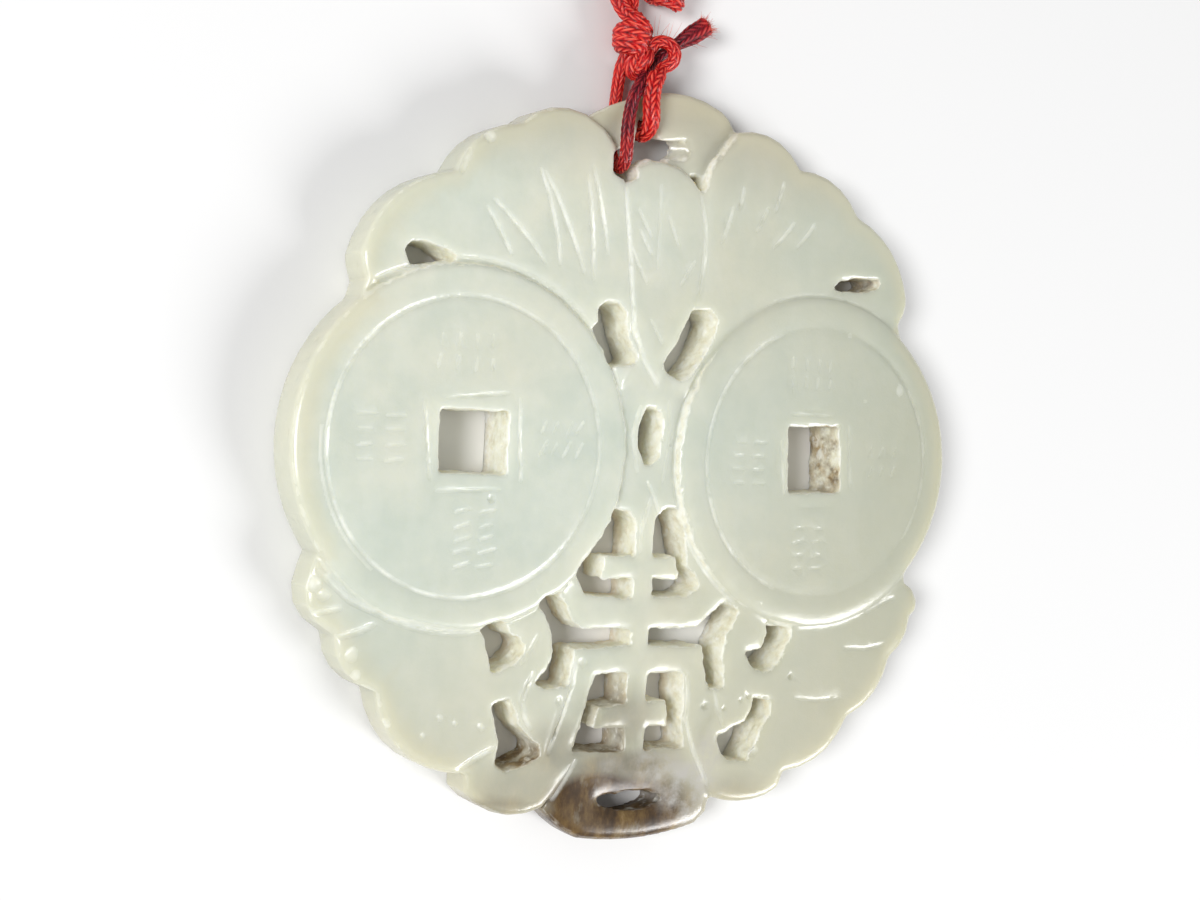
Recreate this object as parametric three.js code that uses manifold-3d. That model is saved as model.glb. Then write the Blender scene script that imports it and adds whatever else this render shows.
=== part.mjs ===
// A pierced jade pendant plaque with twin coins, lying on its back, on a red braided cord.
// Millimetres, +Z up. X runs to the right and +Y to the plaque's top. The origin is below the
// middle of the jade, on the surface that it lies on.
import * as THREE from "three";
import { mergeVertices } from "three/addons/utils/BufferGeometryUtils.js";
import Module from "manifold-3d";

const wasm = await Module();
wasm.setup();

// Levels of the carved faces above the flat back
const COIN_TOP = 4.4;
const WING_TOP = 4.1;
const PETAL_TOP = 4.0;
const LEAF_TOP = 3.95;
const FRET_TOP = 3.7;
const FOOT_TOP = 3.6;
const RIM_TOP = 3.3;
const RIM_BACK = 1.9; // the rim is cut back here, so that the cord passes behind it

// Edges
const EDGE_ROUND = 0.45; // rounding of the plates' edges
const FOOT_ROUND = 0.9; // the worn rounding of the foot lobe
const COIN_ROUND = 0.5;
const BACK_ROUND = 0.35;
const RISE_STEP = 1.5; // length of one facet on a curved edge
const WALL_TAPER = 0.2; // how far the pierced walls lean inwards towards the back
const FOOT_HOLE_DROP = 0.8; // how far the foot's hole leans down towards the back
const CORD_HOLE_LEAN = 8.0; // how far the cut beside the cord hole leans to the left over its height
const CUT_LIFT = 0.3; // how far a cutting shape stands above the face that it cuts

// Coins
const COIN_X = 16.4;
const COIN_Y = 0.9;
const COIN_R = 13.9;
const COIN_SEGMENTS = 64;
const RING_R = 11.35; // the incised ring
const RING_WIDTH = 0.5;
const RING_DEPTH = 0.28;
const BORDER_WIDTH = 0.7; // the groove that sets a coin off from its neighbours
const BORDER_DEPTH = 0.45;
const LEFT_HOLE = { x: -15.95, y: 1.35, w: 5.7, h: 4.8, turn: 0.01 };
const RIGHT_HOLE = { x: 15.9, y: 1.15, w: 5.3, h: 5.6, turn: 0.05 };
const LINE_GAP = 1.25; // from a square hole's edge to its incised frame line
const LINE_WIDTH = 0.42;
const LINE_DEPTH = 0.22;

// Veins of the wings and leaves, the petal's finer ones, and the lines beside the fret
const VEIN_WIDTH = 0.45;
const VEIN_DEPTH = 0.3;
const FINE_WIDTH = 0.35;
const FINE_DEPTH = 0.2;
const PARTING_WIDTH = 0.45;
const PARTING_DEPTH = 0.35;
const PARTING_LEVEL = 3.8;

// Cord
const CORD_D = 1.5;
const THIN_D = 1.2;
const TAIL_D = 1.7;
const CORD_SIDES = 8;
const CORD_STEP = 1.4; // length of one facet along a cord
const COIL = { x: -1.5, y: 58.0, r: 9.0, half: 3.0, height: 4.2, bevel: 0.8 };
const COIL_SEGMENTS = 32;
const TIE_GAP = 0.45;
const TIE_WALL = 0.9;
const TIE_WIDTH = 2.4;

const JADE = new THREE.MeshStandardMaterial({ color: 0xcdd6c8, roughness: 0.3, metalness: 0 });
const RED_CORD = new THREE.MeshStandardMaterial({ color: 0xd0101c, roughness: 0.7, metalness: 0 });

// Solids and booleans

function solid(geometry) {
  const bare = geometry.index ? geometry.toNonIndexed() : geometry.clone();
  bare.deleteAttribute("normal");
  bare.deleteAttribute("uv");
  const merged = mergeVertices(bare, 1e-4);
  return new wasm.Manifold(
    new wasm.Mesh({
      numProp: 3,
      vertProperties: merged.attributes.position.array,
      triVerts: new Uint32Array(merged.index.array),
    }),
  );
}

function unite(solids) {
  return solids.reduce((all, next) => all.add(next));
}

function meshOf(name, manifold, material) {
  const made = manifold.getMesh();
  const geometry = new THREE.BufferGeometry();
  geometry.setAttribute("position", new THREE.BufferAttribute(new Float32Array(made.vertProperties), 3));
  geometry.setIndex(new THREE.BufferAttribute(new Uint32Array(made.triVerts), 1));
  geometry.computeVertexNormals();
  const mesh = new THREE.Mesh(geometry, material);
  mesh.name = name;
  return mesh;
}

// Outlines

// A closed outline, listed clockwise. Each corner is [x, y, rise]: the edge to the next corner
// bows outwards by rise, or inwards where rise is negative.
function outline(corners) {
  const points = [];
  corners.forEach(([x, y, rise = 0], i) => {
    const [nextX, nextY] = corners[(i + 1) % corners.length];
    const dx = nextX - x;
    const dy = nextY - y;
    const chord = Math.hypot(dx, dy);
    const steps = rise === 0 ? 1 : Math.max(2, Math.round(chord / RISE_STEP));
    for (let k = 0; k < steps; k++) {
      const t = k / steps;
      const bow = (4 * t * (1 - t) * rise) / chord;
      points.push(new THREE.Vector2(x + dx * t - dy * bow, y + dy * t + dx * bow));
    }
  });
  return new THREE.Shape(points);
}

// A plate over an outline between two levels, with its front edge rounded, and its back edge
// too unless backRound is 0.
function plate(corners, bottom, top, frontRound = EDGE_ROUND, backRound = BACK_ROUND) {
  const round = Math.max(frontRound, backRound, 0.01);
  const geometry = new THREE.ExtrudeGeometry(outline(corners), {
    depth: top - bottom - 2 * round,
    bevelThickness: round,
    bevelSize: round,
    bevelOffset: -round,
    bevelSegments: 2,
    curveSegments: 1,
  });
  geometry.translate(0, 0, bottom + round);
  return solid(geometry);
}

// A hole through everything, shrunk towards its middle by taper at the back, and moved there
// down by drop and left by lean.
function through(corners, taper = 0, drop = 0, lean = 0) {
  const bottom = -1;
  const top = COIN_TOP + 1;
  const geometry = new THREE.ExtrudeGeometry(outline(corners), {
    depth: top - bottom,
    bevelEnabled: false,
    curveSegments: 1,
  });
  geometry.computeBoundingBox();
  const middle = geometry.boundingBox.getCenter(new THREE.Vector3());
  const span = geometry.boundingBox.getSize(new THREE.Vector3());
  const place = geometry.attributes.position;
  for (let i = 0; i < place.count; i++) {
    if (place.getZ(i) > 0) continue;
    place.setX(i, middle.x - lean + (place.getX(i) - middle.x) * (1 - (2 * taper) / span.x));
    place.setY(i, middle.y - drop + (place.getY(i) - middle.y) * (1 - (2 * taper) / span.y));
  }
  geometry.translate(0, 0, bottom);
  return solid(geometry);
}

function box(width, height, bottom, top) {
  const geometry = new THREE.BoxGeometry(width, height, top - bottom);
  geometry.translate(0, 0, (top + bottom) / 2);
  return geometry;
}

// Incised lines

// A cut with a boat-shaped bottom from one end to the other, in a face at the given level.
function incision(x0, y0, x1, y1, level, width, depth) {
  const length = Math.hypot(x1 - x0, y1 - y0);
  const geometry = new THREE.OctahedronGeometry(1);
  geometry.scale(length / 2, width / 2, depth);
  geometry.rotateZ(Math.atan2(y1 - y0, x1 - x0));
  geometry.translate((x0 + x1) / 2, (y0 + y1) / 2, level);
  return solid(geometry);
}

// A groove of even depth with square ends, V-shaped in section.
function groove(x0, y0, x1, y1, level, width, depth) {
  const length = Math.hypot(x1 - x0, y1 - y0);
  const half = (width / 2) * (1 + CUT_LIFT / depth);
  const section = new THREE.Shape([
    new THREE.Vector2(-half, CUT_LIFT),
    new THREE.Vector2(0, -depth),
    new THREE.Vector2(half, CUT_LIFT),
  ]);
  const geometry = new THREE.ExtrudeGeometry(section, { depth: length, bevelEnabled: false });
  geometry.rotateX(Math.PI / 2);
  geometry.rotateZ(Math.atan2(y1 - y0, x1 - x0) + Math.PI / 2);
  geometry.translate(x0, y0, level);
  return solid(geometry);
}

// A circular V groove round a coin, cut down from the given level.
function ringGroove(radius, level, width, depth) {
  const half = (width / 2) * (1 + CUT_LIFT / depth);
  const profile = [
    new THREE.Vector2(radius - half, level + CUT_LIFT),
    new THREE.Vector2(radius, level - depth),
    new THREE.Vector2(radius + half, level + CUT_LIFT),
    new THREE.Vector2(radius - half, level + CUT_LIFT),
  ];
  const geometry = new THREE.LatheGeometry(profile, COIN_SEGMENTS);
  geometry.rotateX(Math.PI / 2);
  return geometry;
}

// The jade: its plates, from the back to the front

function wingLeft() {
  const corners = [
    [-25.0, 12.8, 0.1], [-25.5, 14.8, 1.5], [-18.4, 21.6, 0.95], [-13.0, 25.8, 0.85],
    [-7.4, 27.2, 0.3], [-4.5, 24.9], [-3.9, 22.6, 0.9], [-2.4, 10.6], [-1.4, 9.0],
    [-3.5, 5.0], [-16.4, 4.0], [-27.0, 6.0],
  ];
  return plate(corners, 0, WING_TOP);
}

function wingRight() {
  const corners = [
    [0.8, 8.2], [2.9, 11.8, -0.5], [3.9, 19.0], [3.7, 22.4], [4.4, 24.6], [6.8, 27.6, 1.2],
    [13.3, 25.3, 1.05], [19.6, 22.0, 1.25], [25.4, 15.2, 0.15], [24.7, 13.1],
    [27.0, 6.0], [16.4, 4.0], [3.5, 5.0],
  ];
  return plate(corners, 0, WING_TOP);
}

function petal() {
  const corners = [[0.1, 6.3, 1.4], [-3.9, 22.6, 0.45], [-0.2, 24.45, 0.45], [3.7, 22.4, 1.9]];
  return plate(corners, 0, PETAL_TOP);
}

function rim() {
  const corners = [
    [-7.2, 26.9, 0.45], [0.5, 30.07, 0.35], [5.6, 29.2, 0.15], [7.0, 27.7], [6.4, 23.6], [-6.4, 23.6],
  ];
  return plate(corners, RIM_BACK, RIM_TOP, 0.35, 0.35);
}

function leafLeft() {
  const corners = [
    [-5.6, -23.3], [-7.2, -25.9], [-8.2, -26.9, 0.75], [-14.0, -26.2, 0.55], [-15.0, -23.9, 1.95],
    [-22.7, -17.4, 0.95], [-26.1, -13.2, 1.3], [-28.0, -8.0], [-26.0, -3.0], [-16.4, -4.0],
    [-8.2, -9.6], [-8.0, -14.2], [-6.6, -17.6], [-8.0, -22.6],
  ];
  return plate(corners, 0, LEAF_TOP);
}

function leafRight() {
  const corners = [
    [27.0, -9.3, 0.25], [28.5, -10.9, 0.3], [27.7, -12.3, 0.5], [25.7, -15.8, 0.9],
    [21.3, -20.9, 1.15], [14.8, -25.3, 0.5], [13.1, -27.2, 0.45], [7.6, -27.0],
    [6.6, -25.4], [5.3, -23.2], [7.2, -20.0], [6.7, -17.6], [8.0, -14.5], [8.4, -10.6],
    [16.4, -4.0], [26.0, -3.0],
  ];
  return plate(corners, 0, LEAF_TOP);
}

function foot() {
  const corners = [
    [7.8, -26.8, 0.55], [6.4, -29.3, 0.6], [-4.6, -29.7, 0.25], [-7.9, -27.2], [-6.2, -22.6],
    [6.0, -22.6],
  ];
  return plate(corners, 0, FOOT_TOP, FOOT_ROUND, FOOT_ROUND);
}

function middle() {
  const corners = [
    [-7.0, 8.6], [7.0, 8.6], [9.0, -12.0], [7.4, -19.0], [8.6, -24.6], [-8.6, -24.6],
    [-7.4, -19.0], [-9.0, -12.0],
  ];
  return plate(corners, 0, FRET_TOP, 0.05, 0.05);
}

function coin(side) {
  const profile = [
    new THREE.Vector2(0, 0),
    new THREE.Vector2(COIN_R - BACK_ROUND, 0),
    new THREE.Vector2(COIN_R, BACK_ROUND),
    new THREE.Vector2(COIN_R, COIN_TOP - COIN_ROUND),
    new THREE.Vector2(COIN_R - 0.3 * COIN_ROUND, COIN_TOP - 0.3 * COIN_ROUND),
    new THREE.Vector2(COIN_R - COIN_ROUND, COIN_TOP),
    new THREE.Vector2(RING_R + RING_WIDTH / 2, COIN_TOP),
    new THREE.Vector2(RING_R, COIN_TOP - RING_DEPTH),
    new THREE.Vector2(RING_R - RING_WIDTH / 2, COIN_TOP),
    new THREE.Vector2(0, COIN_TOP),
  ];
  const geometry = new THREE.LatheGeometry(profile, COIN_SEGMENTS);
  geometry.rotateX(Math.PI / 2);
  geometry.translate(side * COIN_X, COIN_Y, 0);
  return solid(geometry);
}

// The jade: what is cut away

function coinBorder(side) {
  const geometry = ringGroove(COIN_R + 0.15, WING_TOP, BORDER_WIDTH, BORDER_DEPTH);
  geometry.translate(side * COIN_X, COIN_Y, 0);
  return solid(geometry);
}

function squareHole(hole) {
  const geometry = box(hole.w, hole.h, -1, COIN_TOP + 1);
  geometry.rotateZ(hole.turn);
  geometry.translate(hole.x, hole.y, 0);
  return solid(geometry);
}

// Four incised lines that frame a square hole, each a little longer than the hole's side.
function holeFrame(hole) {
  const across = hole.w / 2 + LINE_GAP;
  const along = hole.h / 2 + LINE_GAP;
  const reach = 0.85;
  const spin = (x, y) => [
    hole.x + x * Math.cos(hole.turn) - y * Math.sin(hole.turn),
    hole.y + x * Math.sin(hole.turn) + y * Math.cos(hole.turn),
  ];
  const lines = [-1, 1].flatMap((s) => [
    [spin(s * across, -along * reach), spin(s * across, along * reach)],
    [spin(-across * reach, s * along), spin(across * reach, s * along)],
  ]);
  return lines.map(([a, b]) => incision(...a, ...b, COIN_TOP, LINE_WIDTH, LINE_DEPTH));
}

// The openings pierced through the plaque, in reading order.
function openings() {
  // The notch in the cord hole's upper edge is where the thick strand goes through.
  const cordHole = [
    [-4.9, 22.9], [-4.9, 24.6], [-3.4, 25.2], [-2.6, 25.5], [-2.45, 27.3], [-2.1, 27.7],
    [-0.9, 27.7], [-0.55, 27.3], [-0.4, 26.1], [0.5, 26.2], [0.6, 25.0], [0.3, 24.3],
    [-0.3, 24.5], [-1.8, 24.3], [-2.6, 23.8], [-2.6, 22.8], [-3.6, 22.2],
  ];
  const cordHoleSlope = [[2.8, 26.1], [5.1, 26.6], [5.6, 25.9], [5.5, 25.2], [4.9, 24.7], [2.8, 24.7]];
  const wingHoleLeft = [
    [-22.2, 15.2, 0.1], [-21.6, 16.1, 0.1], [-19.2, 15.8], [-18.0, 15.1], [-17.8, 14.8],
    [-19.5, 14.5], [-21.7, 14.2],
  ];
  const wingHoleRight = [
    [17.3, 15.6], [18.0, 16.5], [19.0, 16.7], [21.0, 16.8], [22.1, 16.9], [22.3, 16.4],
    [21.3, 15.8], [20.0, 15.6], [18.3, 15.5],
  ];
  const besidePetalLeft = [
    [-5.7, 12.2], [-4.9, 12.8], [-3.7, 12.85], [-3.1, 12.3], [-2.5, 10.2], [-1.6, 8.2],
    [-2.7, 7.9], [-4.3, 7.7], [-5.2, 9.2], [-6.0, 10.7], [-5.5, 11.2],
  ];
  const besidePetalRight = [
    [0.6, 8.2], [1.8, 9.8], [2.4, 11.1], [3.3, 12.8], [4.9, 12.9], [5.7, 12.2], [5.4, 10.7],
    [4.5, 8.8], [3.6, 7.7], [2.5, 6.9], [1.5, 7.3],
  ];
  const slot = [[-0.5, 0.05, 0.8], [-0.45, 4.85], [1.1, 4.65, 0.1], [1.35, 2.6], [0.95, 0.75], [0.2, -0.1]];
  const fretLeft = [
    [-3.1, -3.3], [-1.5, -3.6], [-0.8, -4.5], [-0.8, -10.7], [-5.3, -10.3], [-5.8, -9.4],
    [-6.5, -8.2], [-5.5, -7.0, -0.2],
  ];
  const fretRight = [
    [0.8, -3.9], [2.0, -3.2], [3.0, -3.3, 0.2], [4.3, -8.0], [5.2, -9.0], [5.5, -9.8],
    [4.2, -10.5], [0.8, -10.6],
  ];
  const scrollSideLeft = [
    [-9.7, -10.9], [-9.1, -10.3], [-7.8, -10.0], [-7.1, -10.6], [-6.1, -12.3], [-5.4, -12.9],
    [-0.8, -13.0], [-0.8, -14.4], [-6.0, -14.5], [-6.3, -17.4], [-8.5, -17.6], [-9.5, -17.1, -0.25],
    [-8.0, -14.6, -0.1], [-8.4, -12.5, -0.1],
  ];
  const scrollSideRight = [
    [0.8, -13.0], [5.5, -12.9], [6.9, -11.8], [7.9, -11.0], [9.4, -11.5], [9.4, -12.0, -0.1],
    [7.9, -14.6, -0.1], [8.2, -17.2], [8.2, -18.0], [6.9, -18.2], [6.6, -17.6], [6.0, -14.5], [0.8, -14.4],
  ];
  const lampLeft = [[-4.0, -16.5], [-0.9, -16.5], [-0.9, -22.9], [-5.8, -22.8], [-4.6, -18.6]];
  const lampRight = [[0.85, -16.5], [4.3, -16.6], [4.5, -20.5], [4.9, -22.9], [0.9, -22.9]];
  const scrollEyeLeft = [
    [-14.5, -12.7], [-13.6, -12.3], [-12.5, -12.2], [-11.7, -13.2], [-10.8, -13.5], [-10.4, -14.1],
    [-10.5, -14.8], [-11.3, -15.6], [-12.7, -16.2], [-13.4, -16.1], [-13.5, -15.1],
  ];
  const scrollEyeRight = [
    [12.2, -12.5], [13.0, -12.8], [15.0, -13.0], [14.9, -13.9], [13.9, -15.7], [13.1, -16.7],
    [12.1, -16.9], [11.1, -16.7], [10.0, -15.1], [11.9, -14.8, -0.15],
  ];
  const underScrollLeft = [
    [-13.2, -18.7], [-12.7, -18.4], [-11.6, -18.2], [-11.2, -19.1], [-10.7, -20.3], [-9.8, -21.2],
    [-8.8, -22.0], [-8.7, -22.8], [-9.9, -23.5], [-11.7, -23.9], [-12.7, -23.3], [-12.4, -21.6],
  ];
  const underScrollRight = [
    [7.7, -21.9], [9.3, -21.2], [10.5, -20.8], [11.1, -19.8], [11.2, -18.7], [13.1, -19.0],
    [13.0, -20.2], [12.1, -21.5], [11.7, -22.6], [10.9, -24.0], [9.0, -23.9], [8.4, -23.4],
  ];
  const footHole = [[-3.3, -26.2, 0.45], [2.9, -26.2, 0.15], [2.6, -26.9, 0.45], [-2.6, -27.0, 0.1]];
  const tapered = [
    besidePetalLeft, besidePetalRight, fretLeft, fretRight, lampLeft, lampRight, scrollEyeLeft,
    underScrollLeft,
  ];
  const straight = [cordHole, scrollSideLeft, scrollSideRight];
  return [
    ...straight.map((corners) => through(corners)),
    ...tapered.map((corners) => through(corners, WALL_TAPER)),
    through(wingHoleLeft, WALL_TAPER / 2), through(wingHoleRight, WALL_TAPER / 2),
    through(slot, 2 * WALL_TAPER), through(scrollEyeRight, 2 * WALL_TAPER),
    through(underScrollRight, 0, FOOT_HOLE_DROP / 2), through(footHole, 0, FOOT_HOLE_DROP),
    through(cordHoleSlope, 0, 0, CORD_HOLE_LEAN),
  ];
}

// The free-ended arms of the fret, left standing across its openings.
function fretArms() {
  const cross = [[-3.7, -7.2], [3.0, -7.2], [3.4, -9.05], [-3.7, -9.0]];
  const small = [[-3.4, -19.2], [2.9, -18.8], [3.1, -21.0], [-3.9, -20.9]];
  return [cross, small].map((corners) => plate(corners, 0, FRET_TOP, 0.2, 0.2));
}

// Veins incised in the wings, the petal and the leaves: [x, y] of both ends, and the level.
function veins() {
  const wing = [
    [-15.8, 19.2, -13.4, 15.6], [-15.3, 19.8, -10.4, 15.2], [-11.4, 22.6, -9.2, 15.2],
    [-11.0, 22.4, -7.0, 14.7], [-7.2, 22.6, -6.2, 14.3], [-6.8, 23.4, -5.0, 16.4],
    [6.6, 22.0, 5.2, 18.4], [7.5, 22.8, 7.1, 20.8], [10.3, 22.2, 8.8, 19.4], [11.6, 24.0, 10.8, 21.2],
  ];
  const middlePetal = [
    [-0.4, 22.6, -0.3, 15.6], [-2.4, 20.4, -1.0, 18.2], [-2.2, 18.8, -0.9, 16.8],
    [-2.9, 17.4, -1.2, 14.4], [3.2, 16.8, 1.9, 14.6], [-0.8, 11.8, 0.5, 9.8],
  ];
  const leaf = [
    [-26.2, -13.3, -23.4, -12.3], [-28.2, -11.6, -25.6, -11.1], [-15.6, -23.6, -12.5, -21.9],
    [25.8, -10.5, 22.4, -11.9], [-9.6, -16.2, -10.6, -18.6],
  ];
  return [
    ...wing.map((ends) => incision(...ends, WING_TOP, VEIN_WIDTH, VEIN_DEPTH)),
    ...middlePetal.map((ends) => incision(...ends, PETAL_TOP, FINE_WIDTH, FINE_DEPTH)),
    ...leaf.map((ends) => incision(...ends, LEAF_TOP, VEIN_WIDTH, VEIN_DEPTH)),
  ];
}

// The line that parts the foot and the fret from the leaf on each side.
function fretBorders() {
  const left = [[-6.3, -18.0], [-6.9, -20.2], [-8.0, -22.8], [-5.8, -23.6], [-7.3, -26.6]];
  const right = [[4.9, -20.2], [5.3, -23.2], [6.3, -25.3], [7.1, -26.6]];
  const cut = (a, b) => groove(...a, ...b, PARTING_LEVEL, PARTING_WIDTH, PARTING_DEPTH);
  return [
    cut(left[0], left[1]), cut(left[1], left[2]), cut(left[3], left[4]),
    cut(right[0], right[1]), cut(right[1], right[2]), cut(right[2], right[3]),
  ];
}

function jadePlaque() {
  const plates = unite([
    middle(), foot(), rim(), petal(), wingLeft(), wingRight(), leafLeft(), leafRight(),
  ]);
  const bordered = plates.subtract(coinBorder(-1)).subtract(coinBorder(1));
  const stone = unite([bordered, coin(-1), coin(1)]);
  const pierced = openings().reduce((all, hole) => all.subtract(hole), stone);
  const armed = unite([pierced, ...fretArms()]);
  const cuts = [
    squareHole(LEFT_HOLE), squareHole(RIGHT_HOLE), ...holeFrame(LEFT_HOLE), ...holeFrame(RIGHT_HOLE),
    ...veins(), ...fretBorders(),
  ];
  return cuts.reduce((all, cut) => all.subtract(cut), armed);
}

// The cord

// A plain tube along a smooth curve through the route's points.
function tube(route, diameter) {
  const curve = new THREE.CatmullRomCurve3(route.map((p) => new THREE.Vector3(...p)), false, "centripetal");
  const section = new THREE.Shape(
    Array.from({ length: CORD_SIDES }, (_, i) => {
      const angle = (2 * Math.PI * i) / CORD_SIDES;
      return new THREE.Vector2((diameter / 2) * Math.cos(angle), (diameter / 2) * Math.sin(angle));
    }),
  );
  const steps = Math.max(4, Math.round(curve.getLength() / CORD_STEP));
  return solid(new THREE.ExtrudeGeometry(section, { extrudePath: curve, steps, bevelEnabled: false }));
}

// The thin strand leaves the lower knot, lies over the rim, goes down through the cord hole and
// comes back behind the rim to the upper knot.
const THIN_ROUTE = [
  [-2.4, 31.1, 3.8], [-2.85, 30.3, 4.15], [-3.35, 29.2, 4.25], [-3.8, 27.8, 4.25], [-3.95, 26.2, 4.25],
  [-3.9, 24.8, 4.1], [-3.7, 23.8, 3.6], [-3.55, 23.45, 2.8], [-3.5, 23.65, 1.8], [-3.4, 24.5, 1.05],
  [-3.3, 25.6, 0.85], [-3.2, 27.2, 0.8], [-3.1, 29.0, 0.8], [-3.1, 30.6, 0.9], [-3.05, 31.8, 1.2],
];

// The thick strand does the same beside it, and comes back to the lower knot.
const THICK_ROUTE = [
  [-0.8, 30.9, 3.9], [-1.25, 30.0, 4.3], [-1.5, 28.9, 4.4], [-1.65, 28.0, 4.35], [-1.65, 27.2, 4.0],
  [-1.55, 26.65, 3.3], [-1.5, 26.5, 2.5], [-1.45, 26.7, 1.6], [-1.35, 27.3, 0.95], [-1.2, 28.2, 0.8],
  [-1.0, 29.2, 0.8], [-0.7, 30.2, 0.9], [-0.4, 31.0, 1.1],
];

// The neck runs from the upper knot to the knot beyond it, and two runs go on to the coil.
const NECK_ROUTE = [[-2.9, 36.15, 1.5], [-3.05, 37.0, 1.5], [-3.15, 38.0, 1.5], [-3.0, 39.0, 1.5]];
const RUN_LEFT_ROUTE = [
  [-0.7, 41.2, 1.2], [-1.6, 42.1, 0.9], [-3.6, 43.6, 0.8], [-6.0, 45.2, 0.8], [-8.6, 46.6, 0.8],
  [-10.8, 48.4, 0.8],
];
const RUN_RIGHT_ROUTE = [
  [1.8, 41.1, 1.2], [2.4, 42.1, 0.9], [3.4, 43.6, 0.8], [4.9, 45.2, 0.8], [6.6, 47.0, 0.8],
  [8.2, 48.7, 0.8],
];
const TAIL_ROUTE = [[1.9, 34.2, 2.0], [2.9, 34.9, 1.7], [4.0, 35.6, 1.4], [5.1, 36.3, 1.2]];

const KNOTS = [
  { name: "knot_upper", x: -3.0, y: 34.0, width: 3.2, length: 3.6, height: 3.4, turn: 0.25 },
  { name: "knot_lower", x: 0.3, y: 32.8, width: 2.9, length: 3.4, height: 4.2, turn: -0.3 },
  { name: "knot_top", x: 0.6, y: 38.8, width: 5.0, length: 4.2, height: 3.8, turn: 0.1 },
];

// A knot's outer shape: a squashed ball that lies on the surface.
function knot({ x, y, width, length, height, turn }) {
  const geometry = new THREE.SphereGeometry(1, 12, 8);
  geometry.scale(width / 2, height / 2, length / 2);
  geometry.rotateX(Math.PI / 2);
  geometry.rotateZ(turn);
  geometry.translate(x, y, height / 2);
  return solid(geometry);
}

function coil() {
  const { x, y, r, half, height, bevel } = COIL;
  const profile = [
    new THREE.Vector2(r - half + bevel, 0),
    new THREE.Vector2(r + half - bevel, 0),
    new THREE.Vector2(r + half, bevel),
    new THREE.Vector2(r + half, height - bevel),
    new THREE.Vector2(r + half - bevel, height),
    new THREE.Vector2(r - half + bevel, height),
    new THREE.Vector2(r - half, height - bevel),
    new THREE.Vector2(r - half, bevel),
    new THREE.Vector2(r - half + bevel, 0),
  ];
  const geometry = new THREE.LatheGeometry(profile, COIL_SEGMENTS);
  geometry.rotateX(Math.PI / 2);
  geometry.translate(x, y, 0);
  return solid(geometry);
}

// The tie is a staple over the coil, down to the surface on both sides.
function coilTie() {
  const { x, y, r, half, height } = COIL;
  const inner = half + TIE_GAP;
  const outer = inner + TIE_WALL;
  const section = new THREE.Shape([
    new THREE.Vector2(-outer, 0),
    new THREE.Vector2(-inner, 0),
    new THREE.Vector2(-inner, height + TIE_GAP),
    new THREE.Vector2(inner, height + TIE_GAP),
    new THREE.Vector2(inner, 0),
    new THREE.Vector2(outer, 0),
    new THREE.Vector2(outer, height + TIE_GAP + TIE_WALL),
    new THREE.Vector2(-outer, height + TIE_GAP + TIE_WALL),
  ]);
  const geometry = new THREE.ExtrudeGeometry(section, { depth: TIE_WIDTH, bevelEnabled: false });
  geometry.rotateX(Math.PI / 2);
  geometry.rotateZ(Math.PI / 2);
  geometry.translate(x - TIE_WIDTH / 2, y + r, 0);
  return solid(geometry);
}

const pendant = new THREE.Group();
pendant.add(
  meshOf("jade_plaque", jadePlaque(), JADE),
  meshOf("cord_strand_thin", tube(THIN_ROUTE, THIN_D), RED_CORD),
  meshOf("cord_strand_thick", tube(THICK_ROUTE, CORD_D), RED_CORD),
  ...KNOTS.map((shape) => meshOf(shape.name, knot(shape), RED_CORD)),
  meshOf("cord_tail", tube(TAIL_ROUTE, TAIL_D), RED_CORD),
  meshOf("cord_neck", tube(NECK_ROUTE, CORD_D), RED_CORD),
  meshOf("cord_run_left", tube(RUN_LEFT_ROUTE, CORD_D), RED_CORD),
  meshOf("cord_run_right", tube(RUN_RIGHT_ROUTE, CORD_D), RED_CORD),
  meshOf("cord_coil", coil(), RED_CORD),
  meshOf("coil_tie", coilTie(), RED_CORD),
);

export default pendant;
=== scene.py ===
# A pierced jade pendant plaque with twin coins, lying on a pale table with its red braided neck
# cord. Metres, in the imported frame: +Z up, +Y to the plaque's top, the origin under its middle.
import math

import bpy
import numpy as np
from mathutils import Matrix, Vector


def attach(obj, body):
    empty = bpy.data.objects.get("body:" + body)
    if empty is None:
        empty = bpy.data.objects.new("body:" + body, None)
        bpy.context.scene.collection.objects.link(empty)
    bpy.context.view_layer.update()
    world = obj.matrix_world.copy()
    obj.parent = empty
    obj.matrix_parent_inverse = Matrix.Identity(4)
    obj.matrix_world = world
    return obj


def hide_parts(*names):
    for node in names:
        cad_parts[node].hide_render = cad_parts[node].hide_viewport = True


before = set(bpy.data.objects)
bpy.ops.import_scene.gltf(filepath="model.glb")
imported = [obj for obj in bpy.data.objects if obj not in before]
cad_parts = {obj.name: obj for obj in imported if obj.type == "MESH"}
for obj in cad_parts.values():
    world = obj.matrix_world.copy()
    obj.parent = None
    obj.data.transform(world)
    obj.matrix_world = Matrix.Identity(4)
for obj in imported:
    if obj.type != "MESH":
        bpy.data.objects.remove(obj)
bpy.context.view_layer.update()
MM = 0.001

# The camera. It looks down on the lying plaque from its left, a little rolled, with a lens of
# moderate length, as the photograph does.
CAMERA_PLACE = Vector((-0.0738, 0.0026, 0.1227))
CAMERA_AIM = Vector((-0.0025, 0.0011, 0.0))
CAMERA_ROLL = math.radians(2.9)
LENS_MM = 52.5

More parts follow.
